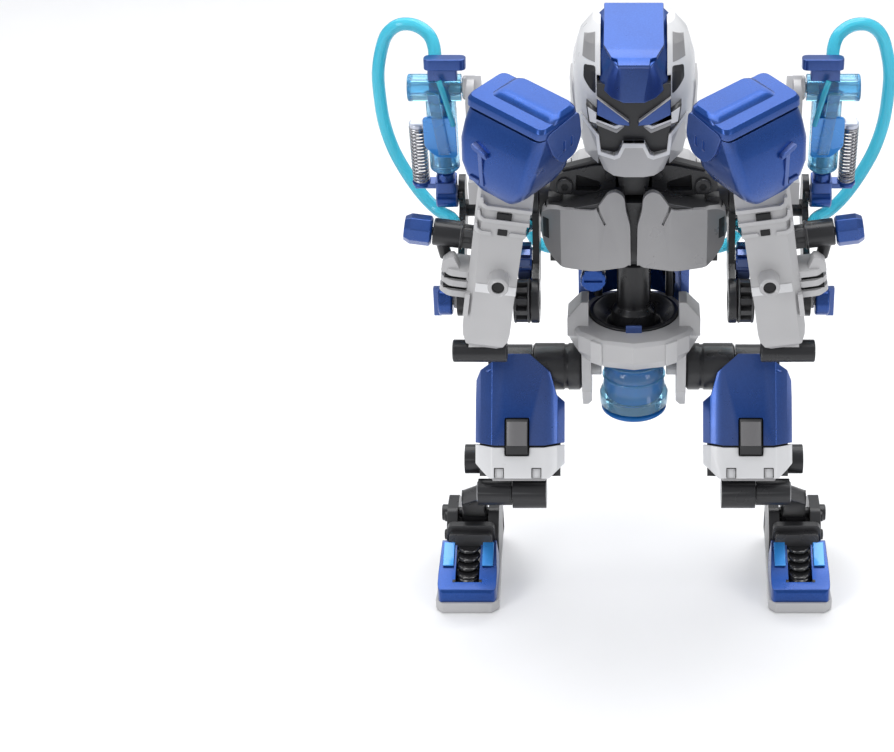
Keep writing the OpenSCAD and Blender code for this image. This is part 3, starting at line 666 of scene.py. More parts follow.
def make_yoke():
    outline = [(5, 172), (12, 171.5), (29, 172.5), (32.6, 174.6), (31.4, 179.2), (27, 181.4), (14, 184.5),
               (6.6, 184)]
    window = [(22, 180.6), (13, 177.6), (12.6, 175.4), (13.6, 173.8), (22.4, 173.8)]
    arm = cut(prism("y", outline, -11, -4, 1.2), prism("y", window, -14, -6, 0.8))
    collar = [(28.2, 182.4), (17.1, 185.4), (9, 187.6), (10, 184), (26, 180)]
    side = joined(arm, prism("y", collar, -9.5, -5, 0.8))
    neck = joined(slab(-7, 7, -11, 8, 172, 182), slab(-2.9, 2.9, -1, 5, 180, 188),
                  rod("x", -2.9, 2.9, 3, NECK_PIN))
    single("shoulder_yoke", joined(neck, mirrored(side)), "torso", BLACK, 0.4)
    bolts = joined(rod("y", -12.6, -10, 3.2, (26.5, 0, 176)), rod("y", -12.6, -10, 2.2, (9, 0, 180.6)))
    single("yoke_bolts", mirrored(bolts), "torso", BLACK, 0)
    # Near-black sheets in the bolt heads' sockets: painted shade.
    socket = prism("y", arc((26.5, 176), 1.5, 0, 300, 5), -12.75, -12.2)
    single("yoke_socket_shadows", mirrored(socket), "torso", SHADOW, 0)


def screw_head(place, back_y):
    """A round screw head with a cross, facing the robot's back."""
    x, z = place
    head = rod("y", back_y, back_y + 2.2, SCREW_R, (x, 0, z), 0.3, 24)
    cross = [slab(x - across, x + across, back_y + 1.6, back_y + 3, z - up, z + up)
             for across, up in ((1.2, 0.3), (0.3, 1.2))]
    return cut(head, *cross)


def make_back():
    outer = both_halves([(0, 30), (16, 29), (27, 22), (27, 14.4)])
    inner = both_halves([(0, 28), (15.4, 27), (25, 20.8), (25, 12)])
    face = both_halves([(24, 142), (28, 146), (28, 171), (22, 176)])
    cover = common(prism("y", face, 5, 35), prism("z", outer, 142, 176))
    cover = cut(cover, prism("z", inner, 140, 173.5))
    grooves = [slab(-8, 8, 29, 31, z, z + 1.4) for z in (151, 155, 159)]
    panel = cut(slab(-10.5, 10.5, 26, 30.4, 147, 171), *grooves)
    mount = slab(16, 25.8, 17, 25, 134.6, 143)
    single("back_cover", joined(cover, panel, mirrored(mount)), "torso", PALE, 0.5)
    fitting = joined(rod("x", 20, 25.8, 3.4, (0, 23, 134.6)), rod("x", 25.4, 26, 2.6, (0, 23, 134.6)))
    single("back_fittings", mirrored(fitting), "torso", BLACK, 0)
    screws = [screw_head((x, z), 27.8) for x in (-15, 15) for z in (148, 169)]
    single("back_screws", joined(*screws), "torso", STEEL, 0)


def make_valve():
    centre = (VALVE.x, 0, VALVE.z)
    knob = rod("y", -18.9, -15.5, VALVE_R, centre, 0.7, 48)
    notches = []
    for k in range(VALVE_NOTCHES):
        angle = 2 * math.pi * k / VALVE_NOTCHES
        out = Vector((math.cos(angle), 0, math.sin(angle))) * (VALVE_R + 0.3)
        notches.append(rod("y", -20, -15, 0.8, Vector(centre) + out, 0.2, 12))
    slot = slab(VALVE.x - 3.6, VALVE.x + 3.6, -20, -18, VALVE.z - 0.7, VALVE.z + 0.7)
    knob = cut(knob, joined(*notches), slot)
    stem = rod("y", -15.6, -6.2, 1.5, centre)
    single("valve_knob", joined(knob, stem), "valve", BLUE, 0.2)


# ---------- head ----------
HELMET_RINGS = [           # half width, front, back, height and how an inset moves that height
    (18.4, -16, 24, 188.5, 1), (21.8, -20, 27, 195, 0), (23.6, -22, 27.8, 204, 0),
    (23.9, -22, 27.8, 215, 0), (23, -21, 27, 225, 0), (20.4, -16, 24, 233.5, -0.5),
    (15.5, -10, 18, 239.5, -1)]
FACE_HALF = 13.4           # half the width of the face opening in the jaw
JAW_LINE = [(0, 199.3), (4.1, 199.3), (6, 195.2), (7.5, 194.4), (12.3, 195.6), (13, 202), (19.8, 207.8)]
LIP_LINE = [(0, 198), (3.3, 198), (5.2, 194), (7.3, 193), (13.4, 194.4), (14.2, 201.2), (20.6, 206.8)]


def ribbon(stations, thickness):
    """A plate that follows (y, z, half-width) stations, with its upper face on them."""
    rings = []
    for y, z, half in stations:
        rings.append([(half, y, z), (-half, y, z), (-half, y, z - thickness), (half, y, z - thickness)])
    return loft(rings)


def hull(points):
    """The convex solid around points."""
    shape = bmesh.new()
    for point in points:
        shape.verts.new(point)
    result = bmesh.ops.convex_hull(shape, input=shape.verts)
    spare = [g for g in result["geom_interior"] if isinstance(g, bmesh.types.BMVert)]
    bmesh.ops.delete(shape, geom=spare, context="VERTS")
    mesh = bpy.data.meshes.new("shape")
    shape.to_mesh(mesh)
    shape.free()
    return mesh


def both_sides(points):
    return points + [(-x, y, z) for x, y, z in points]


def head_ring(half, front, back, z, steps=40):
    """A flattened oval: squarer than an ellipse."""
    middle = (front + back) / 2
    depth = (back - front) / 2
    ring = []
    for k in range(steps):
        angle = 2 * math.pi * k / steps
        c, s = (math.copysign(abs(part) ** 0.8, part) for part in (math.cos(angle), math.sin(angle)))
        ring.append((c * half, middle + s * depth, z))
    return ring


def helmet_form(inset):
    """The helmet's outer form, shrunk by an inset."""
    return loft([head_ring(half - inset, front, back - inset, z + inset * rise)
                 for half, front, back, z, rise in HELMET_RINGS])


def make_helmet():
    face_gap = slab(-13.8, 13.8, -40, -4, 180, 224)
    crown = slab(-12.4, 12.4, -40, 7.2, 221, 250)
    low_front = slab(-40, 40, -40, -12, 180, 200)
    chin = slab(-14, 14, -40, 40, 180, 193)
    shell = cut(helmet_form(0), helmet_form(1.8), face_gap, crown, low_front, chin)
    single("helmet_shell", shell, "head", WHITE, 0.5, soft=True)


def make_helmet_trim():
    """Panels, recesses, ears and vents: each is the part of a block that lies in the helmet's skin."""
    panel = prism("y", [(14.4, 237), (18.6, 235), (19.2, 228.6), (14.4, 228)], -40, 2)
    panel = cut(common(panel, helmet_form(-0.25)), helmet_form(1))
    single("helmet_panels", mirrored(panel), "head", GREY, 0.25)
    recess = prism("y", [(14.2, 227), (18.6, 226.4), (18.8, 221.6), (16.5, 218.4), (14.2, 216.6)], -40, 2, 1)
    recess = cut(common(recess, helmet_form(-0.3)), helmet_form(1))
    single("helmet_recesses", mirrored(recess), "head", BLACK, 0.3)
    ear = prism("x", [(-9, 206), (-3, 201), (6, 203), (8, 215), (2, 221.5), (-7, 217)], 21, 25.4, 1.5)
    single("helmet_ears", mirrored(common(ear, helmet_form(-0.6))), "head", PALE, 0.3)
    vents = [slab(-7, 7, 24, 29, z, z + 1.4) for z in (204, 208, 212)]
    single("helmet_vents", common(joined(*vents), helmet_form(-0.3)), "head", BLACK, 0.3)


def make_crest():
    body = hull(both_sides([
        (10.4, 7.4, 242.4), (10.8, -15, 233.9), (13.9, 7.4, 239), (13.9, -6, 235), (13.6, -14, 228.8),
        (12.4, -20, 219.4), (8.6, -24.4, 217.2), (3.4, -26.4, 215.6), (8.2, -21.6, 230.8),
        (5.6, -24.6, 229.4)]))
    single("crest_body", body, "head", BLUE, 0.7)
    plate = ribbon([(7, 242.9, 9.8), (5.7, 243.8, 11.2), (-15.6, 235, 11.2), (-21.6, 232.2, 8.4),
                    (-22.2, 231.8, 6.2), (-25.2, 230.2, 5.8)], 1.3)
    single("crest_plate", plate, "head", BLUE, 0.3)


def make_face():
    outline = both_halves([(0, 219), (13.7, 222), (13.7, 198), (12.8, 193.4), (0, 192.6)])
    core = slab(-5, 5, -12, 6, 196, 208)
    neck_lugs = mirrored(slab(3.4, 5.4, -1, 5, 185, 197))
    pin = rod("x", -5, 5, 1.6, NECK_PIN)
    single("face_plate", joined(prism("y", outline, -21.4, -9), core, neck_lugs, pin), "head", BLACK, 0.5)


def make_brows():
    brow = prism("y", [(13.6, 216.6), (1.9, 207.2), (1.5, 205.6), (5.9, 206), (13.7, 210)], -23.2, -21)
    single("brow_wedges", mirrored(brow), "head", BLUE, 0.3)
    # A pale strip along each brow's top edge: a painted highlight.
    lip = prism("y", [(13.8, 217), (13.7, 216.6), (1.9, 207.1), (1.8, 207.6)], -23.5, -21)
    single("brow_highlight_strips", mirrored(lip), "head", PALE, 0.1)


def make_eyes():
    front = [(13.9, 210.6), (13.9, 208.2), (6.9, 205.4), (5.4, 206), (3.6, 205.4), (6.4, 202.9),
             (13.9, 206.2)]
    cheek = [(17.2, 213), (13.8, 210.6), (13.8, 206.2), (16.4, 207.2)]
    trim = joined(prism("y", front, -22.6, -21), prism("y", cheek, -22.6, -15.5))
    single("eye_trim", mirrored(trim), "head", WHITE, 0.15)
    edging = prism("y", [(17.7, 213.9), (13.4, 211.1), (13.4, 205.6), (16.8, 206.6)], -22.2, -15.4)
    single("eye_edging", mirrored(edging), "head", BLACK, 0)
    lid = prism("y", [(13.8, 207.2), (6.6, 204), (5, 204.9), (3.5, 205.2), (6.4, 202.6), (13.9, 205.9)],
                -22.9, -21)
    single("eye_lids", mirrored(lid), "head", GREY, 0.1)


def jaw_form(grow):
    """The jaw's outer form: a chin in front and a cheek on each side."""
    return hull(both_sides([
        (21.6 + grow, -8, 208), (21 + grow, -8, 199), (19.4 + grow, -15, 208), (13.8, -22.6 - grow, 203),
        (13.6 + grow, -23.2 - grow, 196), (18.4 + grow, -12, 190.6), (10.5, -22.4, 187.2 - grow),
        (7.5, -24.4 - grow, 186 - grow), (3.4, -25 - grow, 185.6 - grow), (6, -25.6 - grow, 198),
        (16, -8, 189.6)]))


def face_gap_from(front_y):
    """The space behind the jaw guard's front wall."""
    return slab(-FACE_HALF, FACE_HALF, front_y, 10, 180, 215)


def make_jaw():
    above = prism("y", both_halves(JAW_LINE + [(24, 209), (24, 230)]), -40, 20)
    behind = slab(-30, 30, -10.6, 20, 180, 230)
    jaw = cut(jaw_form(0), above, face_gap_from(-21.3), behind)
    single("jaw_guard", jaw, "head", PALE, 0.5)
    # The lip is a whiter copy of the jaw's plastic along its upper edge: a painted highlight.
    edge = prism("y", JAW_LINE + LIP_LINE[::-1], -40, -11)
    lip = cut(common(edge, jaw_form(0.6)), face_gap_from(-21.6))
    single("jaw_highlight_lips", mirrored(lip), "head", WHITE, 0.25)


# ---------- legs ----------
# The thigh's pieces hang down from the hip: z = 0 is the hip axis.
THIGH_HALF = 18
SEAM = 31                  # where the knee guard begins, below the hip axis
GUARD_END = 45.6
NOTCHES = (-7, 8)          # middles of the two notches in the guard's lower edge
NOTCH_TOP = -GUARD_END + 4
LATCH_LOW = 36
LATCH_TOP = 22
LATCH_LEFT = -3.5
LATCH_RIGHT = 5.1
FOOT_HALF = 12


def thigh_section(inset, back=0.5):
    """The outline round the front of the thigh, up to a flat back."""
    h = THIGH_HALF - inset
    return [(-h, back), (-h, -5 + inset / 2), (-h + 2.6, -9.4 + inset), (-h + 8, -12 + inset),
            (h - 7, -12 + inset), (h - 2.4, -9 + inset), (h, -5 + inset / 2), (h, back)]


def thigh_wall(outer_inset, inner_inset, low=-60, high=20, back=0.5):
    """The skin between two insets of the thigh's section, open at the back."""
    return cut(prism("z", thigh_section(outer_inset, back), low, high),
               prism("z", thigh_section(inner_inset, 3), low - 1, high + 1))


def latch_gap(spare_left, spare_right, spare_ends, front, back):
    """The latch's place with spare room round it."""
    return slab(LATCH_LEFT - spare_left, LATCH_RIGHT + spare_right, front, back,
                -LATCH_LOW - spare_ends, -LATCH_TOP + spare_ends)


def make_thigh_shell():
    h = THIGH_HALF
    front = [(-4, 4.4), (6, 4.4), (h - 2, -2), (h - 0.2, -6), (h + 0.5, -SEAM), (h - 8, -SEAM - 1.4),
             (-h + 8, -SEAM - 1.4), (-h - 0.5, -SEAM), (-h - 0.5, -15), (-h + 3, -12), (-h + 5.5, -3)]
    skin = common(thigh_wall(0, 1.8), prism("y", front, -20, 10))
    skin = cut(skin, latch_gap(0.5, 0.7, 0.6, -20, 0))
    crown = hull([(-4, -12, 1), (6, -12, 1), (-4, -9, 4.2), (6, -9, 4.2), (h - 3, -9, -2), (-h + 6, -9, -2),
                  (-4, 0, 4.2), (6, 0, 4.2), (h - 3, 0, -2), (-h + 6, 0, -2), (h - 5, -11.8, -3),
                  (-h + 7, -11.8, -3)])
    crown = cut(crown, slab(-20, 20, -10.4, 5, -10, 2.6))
    pair("thigh_shell", joined(skin, crown), "thigh", BLUE, 0.5, IN_THIGH)


def make_knee_guard():
    h = THIGH_HALF
    front = both_halves([(h - 8, -SEAM - 2.2), (h + 0.5, -SEAM - 0.7), (h + 0.5, -39),
                         (h - 6, -GUARD_END)])
    notches = [slab(x - 1.8, x + 1.8, -20, -11, -GUARD_END - 1, NOTCH_TOP) for x in NOTCHES]
    guard = common(thigh_wall(0, 1.8), prism("y", front, -20, 10))
    guard = cut(guard, latch_gap(0.5, 0.7, 0.6, -20, 0), *notches)
    pair("knee_guard", guard, "thigh", WHITE, 0.4, IN_THIGH)
    edge = both_halves([(h - 7, -GUARD_END + 0.2), (h - 7.6, -GUARD_END - 0.9)])
    lip = common(thigh_wall(0.5, 2.2), prism("y", edge, -20, 10))
    pair("guard_lip", lip, "thigh", GREY, 0.2, IN_THIGH)
    # Thin near-black strips along the top and sides of each notch: painted shade at the notch's edges.
    lines = []
    for x in NOTCHES:
        lines.append(slab(x - 1.9, x + 1.9, -12.04, -11, NOTCH_TOP - 0.1, NOTCH_TOP + 0.25))
        lines += [slab(side, side + 0.3, -12.04, -11, -GUARD_END + 0.4, NOTCH_TOP)
                  for side in (x - 1.95, x + 1.65)]
    pair("guard_notch_shadows", joined(*lines), "thigh", SHADOW, 0, IN_THIGH)


def make_thigh_inside():
    keep_pair("thigh_frame", BLACK, 0.3)
    # A near-black skin inside the thigh behind the seam and notches: painted shade where the gap shows
    # through.
    seam_shade = thigh_wall(1.7, 2.4, -GUARD_END + 1, -SEAM + 2, -2)
    pair("thigh_seam_shadow", seam_shade, "thigh", SHADOW, 0, IN_THIGH)
    # A near-black disc at the knee: painted shade.
    pair("knee_disc_shadow", rod("x", 68.8, 69.2, 3.4, (0, -14, 55)), "thigh", SHADOW, 0)


def make_latch():
    """The latch over the seam, with its folded plate and a painted shadow in the recess behind it."""
    # A near-black sheet behind the latch's window: painted shade.
    pair("latch_recess_shadow", latch_gap(1.4, 1.6, 1.4, -10.1, -9.3), "thigh", SHADOW, 0, IN_THIGH)
    latch = joined(
        slab(LATCH_LEFT, LATCH_RIGHT, -12.4, -9, -LATCH_LOW, -LATCH_TOP),
        slab(LATCH_LEFT + 0.9, LATCH_RIGHT - 0.9, -13, -12, -LATCH_LOW + 1, -33))
    pair("latch", latch, "thigh", BLACK, 0.35, IN_THIGH)
    fold = [(LATCH_LEFT + 0.3, -13.6), (LATCH_LEFT + 0.3, -14.2), (1.4, -15), (LATCH_RIGHT - 0.3, -14.2),
            (LATCH_RIGHT - 0.3, -13.6)]
    pair("latch_plate", prism("z", fold, -32.6, -LATCH_TOP - 0.9), "thigh", DARK, 0.2, IN_THIGH)


def make_shin():
    keep_pair("shin", BLACK, 0.3)
    pair("shin_ring", bored("x", 62.6, 63.6, 4.4, 2.6, KNEE_LINE), "shin_link", STEEL, 0)


def make_ankle_block():
    cheek = [(-21, 21.5), (-14, 30), (-2, 30), (8, 22), (11, 5), (-21, 5)]
    cheeks = [prism("x", cheek, x, x + 4.4, 1.5) for x in (-12, 5.2)]
    collar = prism("y", [(-11, 18.6), (-10.4, 27.6), (9, 27.6), (9.6, 18.6)], -22, -18.8, 2.6)
    nose = prism("y", [(-10, 17.6), (-9.4, 25), (8, 25), (8.6, 17.6)], -24.9, -20, 1.6)
    heel = prism("x", [(5, 5), (5, 16), (8, 16), (11, 5)], -12, 9.6, 0.6)
    pin = rod("x", -11, 12, 2.2, ANKLE_LINE)
    cap = rod("x", 9.4, 12.2, 3.4, ANKLE_LINE)
    bolts = [rod("x", 9.4, 11, 2.2, (0, y, z)) for y, z in ((-11, 25), (-14, 18))]
    block = joined(*cheeks, collar, nose, heel, pin, cap, *bolts)
    pair("ankle_block", block, "foot", BLACK, 0.4, IN_FOOT)


def make_foot_shell():
    h = FOOT_HALF
    side = [(-44, 5)] + arc((-42.4, 9.2), 2.1, 180, 116) + [(-24, 20.5), (-22, 20.5), (-22, 5)]
    front = [(-h, 4), (h, 4), (h, 14), (h - 1, 22), (-h + 1, 22), (-h, 14)]
    profile = common(prism("x", side, -h, h), prism("y", front, -45, 0))
    hollow = prism("x", [(-42, 4), (-42, 8), (-24, 17.5), (-20, 17.5), (-20, 4)], -h + 1.8, h - 1.8)
    slot = slab(-4.8, 4.8, -40.4, -20, 7, 30)
    shell = cut(common(profile, slab(-h, h, -44.6, -15, 0, 30, 3.4)), hollow, slot)
    pair("foot_shell", shell, "foot", BLUE, 0.6, IN_FOOT)
    pad = [(-34.4, 15.9), (-24.4, 20.7), (-24.8, 21.5), (-34.8, 16.7)]
    pads = [prism("x", pad, x - 2.3, x + 2.3) for x in (-8, 8)]
    pair("foot_pads", joined(*pads), "foot", SKY, 0.3, IN_FOOT)


def make_foot_spring():
    """The ribbed insert in the foot's slot."""
    tray = slab(-4.7, 4.7, -40.3, -22.2, 7.4, 9.4)
    core = prism("x", [(-22, 9), (-22, 17), (-34, 10.6), (-34, 9)], -3, 3)
    step = rod("z", 8, 12.2, 4.6, (0, -35.2, 0), 1.2)
    fins = [rod("z", 18.2 - 2.1 * k, 19.6 - 2.1 * k, 4.6, (0, -24.6 - 3.2 * k, 0), 0.6) for k in range(4)]
    rails = [slab(x, x + 1.2, -40.6, -23.4, 8, 13) for x in (-6, 4.8)]
    pair("foot_spring", joined(tray, core, step, *fins, *rails), "foot", GLOSS, 0.15, IN_FOOT)


def make_foot_sole():
    plan = both_halves([(10, -45), (13, -42), (11.5, 10), (8, 14)])
    rings = [[(x * across, y * along, z) for x, y in plan]
             for across, along, z in ((0.97, 0.99, 0), (1, 1, 0.8), (1, 1, 5))]
    pair("foot_sole", loft(rings), "foot", PALE, 0.35, IN_FOOT)


# ---------- arms ----------
FOREARM_HALF = 9.2
DRUM_R = 8.7
DRUM_BORE = 3.1
DRUM_BARS = 11
BOSS = (-2.5, 0, 21.2)     # the round socket in the forearm's face
BRACKET_Y = -8
BRACKET_Z = 30.6
BRACKET_LINE = (0, BRACKET_Y, BRACKET_Z)
PIPE_END = 24.4            # outer end of the bracket's pipe, from the forearm's middle


def make_arm_frame():
    keep_pair("arm_frame", BLACK, 0.3)
    keep_pair("elbow_gear", BLUE, 0.3)
    pair("gear_hub", rod("x", 45.3, 46.6, 3.4, GEAR_LINE), "upper_arm", BLACK, 0)
    pair("elbow_ring", bored("x", 36.6, 40, DRUM_R, 4, ELBOW_LINE, 48), "upper_arm", BLACK, 0.2)


def make_drum():
    rims = [bored("x", x, x + 1.2, DRUM_R, DRUM_BORE, ELBOW_LINE, 48) for x in (40.2, 45.4)]
    core = bored("x", 41.2, 45.6, 5.6, DRUM_BORE, ELBOW_LINE)
    bar = slab(41, 45.8, -1.1, 1.1, 5, 8.4)
    bars = [moved(bar, at(ELBOW_LINE, ("X", 2 * math.pi * k / DRUM_BARS))) for k in range(DRUM_BARS)]
    pair("elbow_drum", joined(*rims, core, *bars), "forearm", BLACK, 0.2)


def rib(z, inner, outer, turned_up=True):
    """A raised lip across the forearm's front. It may turn up at its outer end."""
    end = [(outer, z), (outer + 0.6, z + 0.8), (outer, z + 1.5)]
    if turned_up:
        end = [(outer - 2.2, z), (outer - 0.6, z + 0.7), (outer + 0.4, z + 2), (outer + 0.6, z + 4.6),
               (outer - 0.5, z + 4.6), (outer - 0.9, z + 2.4), (outer - 2.4, z + 1.5)]
    return prism("y", [(inner, z), *end, (inner, z + 1.5)], -23, -8)


def forearm_body():
    """The hollow forearm with the blocks on it, upright, with the elbow axis at its foot."""
    h = FOREARM_HALF
    front = [(-4.6, -10.6), (-7, -8.6), (-8.6, -5.6), (-9.1, -2), (-9.1, 10), (-9.6, 39), (-10.9, 47),
             (-11.4, 57), (9.4, 57), (9.4, 47), (h, 36), (h, -2), (8.6, -5.6), (7, -8.6), (4.6, -10.6)]
    side = [(-22, -5), (-21, -8.4), (-18.6, -10.6), (0, -10.6), (3, -8), (4, 40), (2, 57), (-20, 57),
            (-22, 44)]
    section = [(-12, -23), (5.6, -23), (9.6, -18.4), (9.6, 6), (-12, 6)]
    body = common(prism("y", front, -24, 6), prism("x", side, -12, 12), prism("z", section, -12, 58))
    body = cut(body, slab(-6, 6, 1, 8, -4, 48), rod("x", -20, -3.6, 3.1))
    boss = bored("y", -30, -19, 3.9, 2.4, BOSS)
    lower_block = slab(-6, 6, -17, -9, -13, -10)
    outer_block = slab(h - 1, h + 8, -17, -5, 9.4, 20.6)
    rear_block = slab(4, 9, 2, 6, 20.6, 25.4)
    rear_fitting = rod("x", 2, 11, 2.9, (0, 6.6, 23))
    ribs = [rib(49.4, -11.6, 7.4), rib(44.2, -11.2, 8), rib(39.4, -10.4, -4.6, False), rib(39, 2.6, 8.6)]
    rim = slab(h - 1.6, h + 0.3, -22.6, -17, 4, 13)
    return joined(body, boss, lower_block, outer_block, rear_block, rear_fitting, *ribs, rim)


def forearm_upper():
    """The cylinder's pivot, the elbow pin and the wrist bar, in the robot's own frame."""
    return joined(
        link(59.6, 62.4, (-12, 182), (SWIVEL.y - 4, SWIVEL.z), 4.6),
        rod("x", 59.6, 64.2, 4.6, SWIVEL_LINE),
        rod("x", 60, 76, 2, SWIVEL_LINE),
        slab(50, 62.4, -24, -10, 174, 183),
        rod("x", 60, 70, 3, ELBOW_LINE),
        rod("x", 69, 73, 1.6, ELBOW_LINE),
        prism("x", [(-15, 203), (-7, 202), (-6, 214), (-10, 220.5), (-16, 212)], 57.2, 63))


def make_forearm():
    shell = joined(moved(forearm_body(), IN_FOREARM), forearm_upper())
    pair("forearm_shell", shell, "forearm", PALE, 0.6)
    # A near-black bar in the boss's bore: painted shade.
    pair("forearm_socket_shadow", rod("y", -29.6, -21, 2.35, BOSS), "forearm", SHADOW, 0, IN_FOREARM)
    section = [(-9.4, -22.25), (5.8, -22.25), (9.8, -17.6), (9.8, -12), (-9.4, -12)]
    band = cut(prism("z", section, 14.6, 18.2), rod("y", -30, -19, 3.95, BOSS))
    pair("forearm_band", band, "forearm", WHITE, 0.2, IN_FOREARM)
    # Near-black sheets in the forearm's notches: painted shade.
    notches = joined(slab(-3.4, 0.2, -22.5, -21, 39.2, 41.6), slab(-4.4, 1.2, -22.6, -21, 45.6, 48.2))
    pair("forearm_notch_shadows", notches, "forearm", SHADOW, 0.2, IN_FOREARM)
    pair("forearm_low_tube", bored("x", 49, 70, 4.4, 2.6, (0, -34, 116.4)), "forearm", BLACK, 0.2)


def make_side_bracket():
    """The pipe that stands out from the forearm, on a bent post."""
    pipe = lathe([(4.8, 13), (5.2, 13.4), (5.2, PIPE_END - 0.4), (4.8, PIPE_END)], "x", BRACKET_LINE)
    stem = rod("x", 9.6, 14, 4.2, BRACKET_LINE)
    collar = bored("x", 13, 14.2, 5.6, 4.8, BRACKET_LINE)
    stub = rod("x", PIPE_END - 1, PIPE_END + 4, 1.6, BRACKET_LINE)
    post = sweep([Vector((21.2, -8, 28)), Vector((20, -8, 24.6)), Vector((18.6, -8, 20.9))], 2.4, 24)
    block = slab(9, 13.4, -12, -5.4, BRACKET_Z - 3.6, BRACKET_Z + 3.6)
    pair("side_bracket", joined(pipe, stem, collar, stub, post, block), "forearm", BLACK, 0.25, IN_FOREARM)


def make_side_fins():
    arm = prism("y", [(11.6, 19), (15.4, 25.6), (17.2, 25.2), (19.6, 22.8), (19.6, 19)], -18, -12, 0.8)
    plan = [(8.6, -19.4), (16, -19.4), (19.6, -15.4), (19.6, -4.6), (8.6, -4.6)]
    fins = [prism("z", plan, z, z + 2.5, 1.6) for z in (10, 14.2, 18.4)]
    pair("side_fins", joined(arm, *fins), "forearm", PALE, 0.5, IN_FOREARM)
    # Near-black sheets between the fins: painted shade in the grooves.
    grooves = [slab(8.6, 18.2, -17.6, -5, z, z + 1.9) for z in (12.4, 16.6)]
    pair("side_groove_shadows", joined(*grooves), "forearm", SHADOW, 0, IN_FOREARM)


def make_knobs():
    rings = []
    for x, radius in ((0.4, 4.9), (1.2, 5.9), (8.6, 5.9), (11, 4.6)):
        corners = arc((BRACKET_Y, BRACKET_Z), radius, 22.5, 337.5, 7)
        rings.append([(PIPE_END + x, y, z) for y, z in corners])
    bore = rod("x", PIPE_END - 1, PIPE_END + 4.4, 1.7, BRACKET_LINE)
    dish = rod("x", PIPE_END + 10, PIPE_END + 13, 2.6, BRACKET_LINE)
    pair("side_knob", cut(loft(rings), bore, dish), "side_nut", BLUE, 0.35, IN_FOREARM)
    disc = cut(rod("x", 70.4, 76, 5.6, ELBOW_LINE, 0.8), rod("x", 69, 73.4, 1.7, ELBOW_LINE))
    wing = slab(75, 78, ELBOW.y - 1.3, ELBOW.y + 1.3, ELBOW.z - 6, ELBOW.z + 6)
    pair("elbow_knob", joined(disc, wing), "elbow_nut", BLUE, 0.5)


def make_glove():
    body = rounded_loft([
        (-4, 6, -8.5, 6, 1.2), (-8, 11, -11, 9, 3), (-12, 15.6, -12.2, 10.5, 7),
        (-15.5, 17.6, -12.5, 11.6, 13), (-17.6, 18, -11.6, 12.5, 22), (-18.6, 17.4, -9.6, 12.5, 29),
        (-19, 16.6, -7.6, 12.5, 34)], 4, 5)
    pair("glove_shell", body, "forearm", BLUE, 0.5, IN_GLOVE, True)
    # A near-black slab between the glove and its cap: painted shade in the gap.
    gap = rounded_loft([(-18, 15.6, -6.6, 11.6, 33.5), (-18, 15.6, -6.4, 11.6, 35.2)], 3.5, 5)
    pair("glove_gap_shadow", gap, "forearm", SHADOW, 0, IN_GLOVE)
    bar = prism("y", [(2.6, 19.8), (2.6, 21.9), (9.6, 24.4), (9.6, 22.3)], -13.3, -11, 0.9)
    strip = slab(5, 6.8, -13, -11.5, 6.6, 21.6)
    prong = slab(7, 12, -13.1, -11.4, 7, 8.8)
    pair("glove_clip", joined(bar, strip, prong), "forearm", BLUE, 0.4, IN_GLOVE)


def make_glove_cap():
    lid = rounded_loft([(-19.4, 17.4, -7.4, 13, 34.8), (-19.4, 17.4, -7, 13, 37.4),
                        (-18.6, 16.8, -5.8, 12.6, 38.7)], 3, 5)
    hump = rounded_loft([(-19.4, 11.4, -1.6, 12.8, 38.2), (-19, 9.8, 0.4, 12.6, 39.6),
                         (-17.4, 7.6, 3.4, 12.2, 40.7)], 3, 5)
    lobe = prism("x", [(-5, 36), (12.6, 38), (13.6, 27), (10, 20.6), (3, 20), (-1.6, 26)], -19.8, -17, 2.4)
    slots = [prism("x", [(y, 25), (y + 1.2, 25), (y + 1.2, 29.4), (y, 29.4)], -21, -19.2, 0.5)
             for y in (3.6, 7.6)]
    pair("glove_cap", joined(lid, hump, cut(lobe, *slots)), "forearm", BLUE, 0.5, IN_GLOVE, True)


# ---------- cylinders and springs ----------
BARREL_R = 5.8
BORE_R = 4.2
SPRING_X = 9.6             # from the cylinder's line to the spring's
SPRING_TOP = -17
SPRING_LOW = -42.6
SPRING_R = 3.4
WIRE_R = 0.45
SPRING_TURNS = 17
COIL_STEPS = 18            # corners in each turn of the coil


def make_cylinder():
    barrel = bored("z", -36, -4, BARREL_R, BORE_R)
    foot_ring = bored("z", -36, -33.6, BARREL_R, BORE_R - 0.4)
    nipple = rod("z", 4, 7.4, 2.6, (1, 0, 0))
    pivot = bored("x", 64.7, 85, 5.2, 2.1, SWIVEL_LINE)
    collar = bored("x", 83.4, 84.9, 5.2, 3.4, SWIVEL_LINE)
    glass = joined(moved(joined(barrel, foot_ring, nipple), IN_CYLINDER), pivot, collar)
    pair("cylinder", glass, "barrel", CLEAR, 0)
    pair("cylinder_plug", rod("z", -8, 2, 4.1), "barrel", FLUID, 0, IN_CYLINDER)
    paddle = slab(62.6, 78.4, -13.6, -7.4, 223.6, 228, 2.6)
    handle = slab(66, 77, -12.4, -8.4, 219, 224)
    pair("cylinder_paddle", joined(paddle, handle), "barrel", BLUE, 0.5)


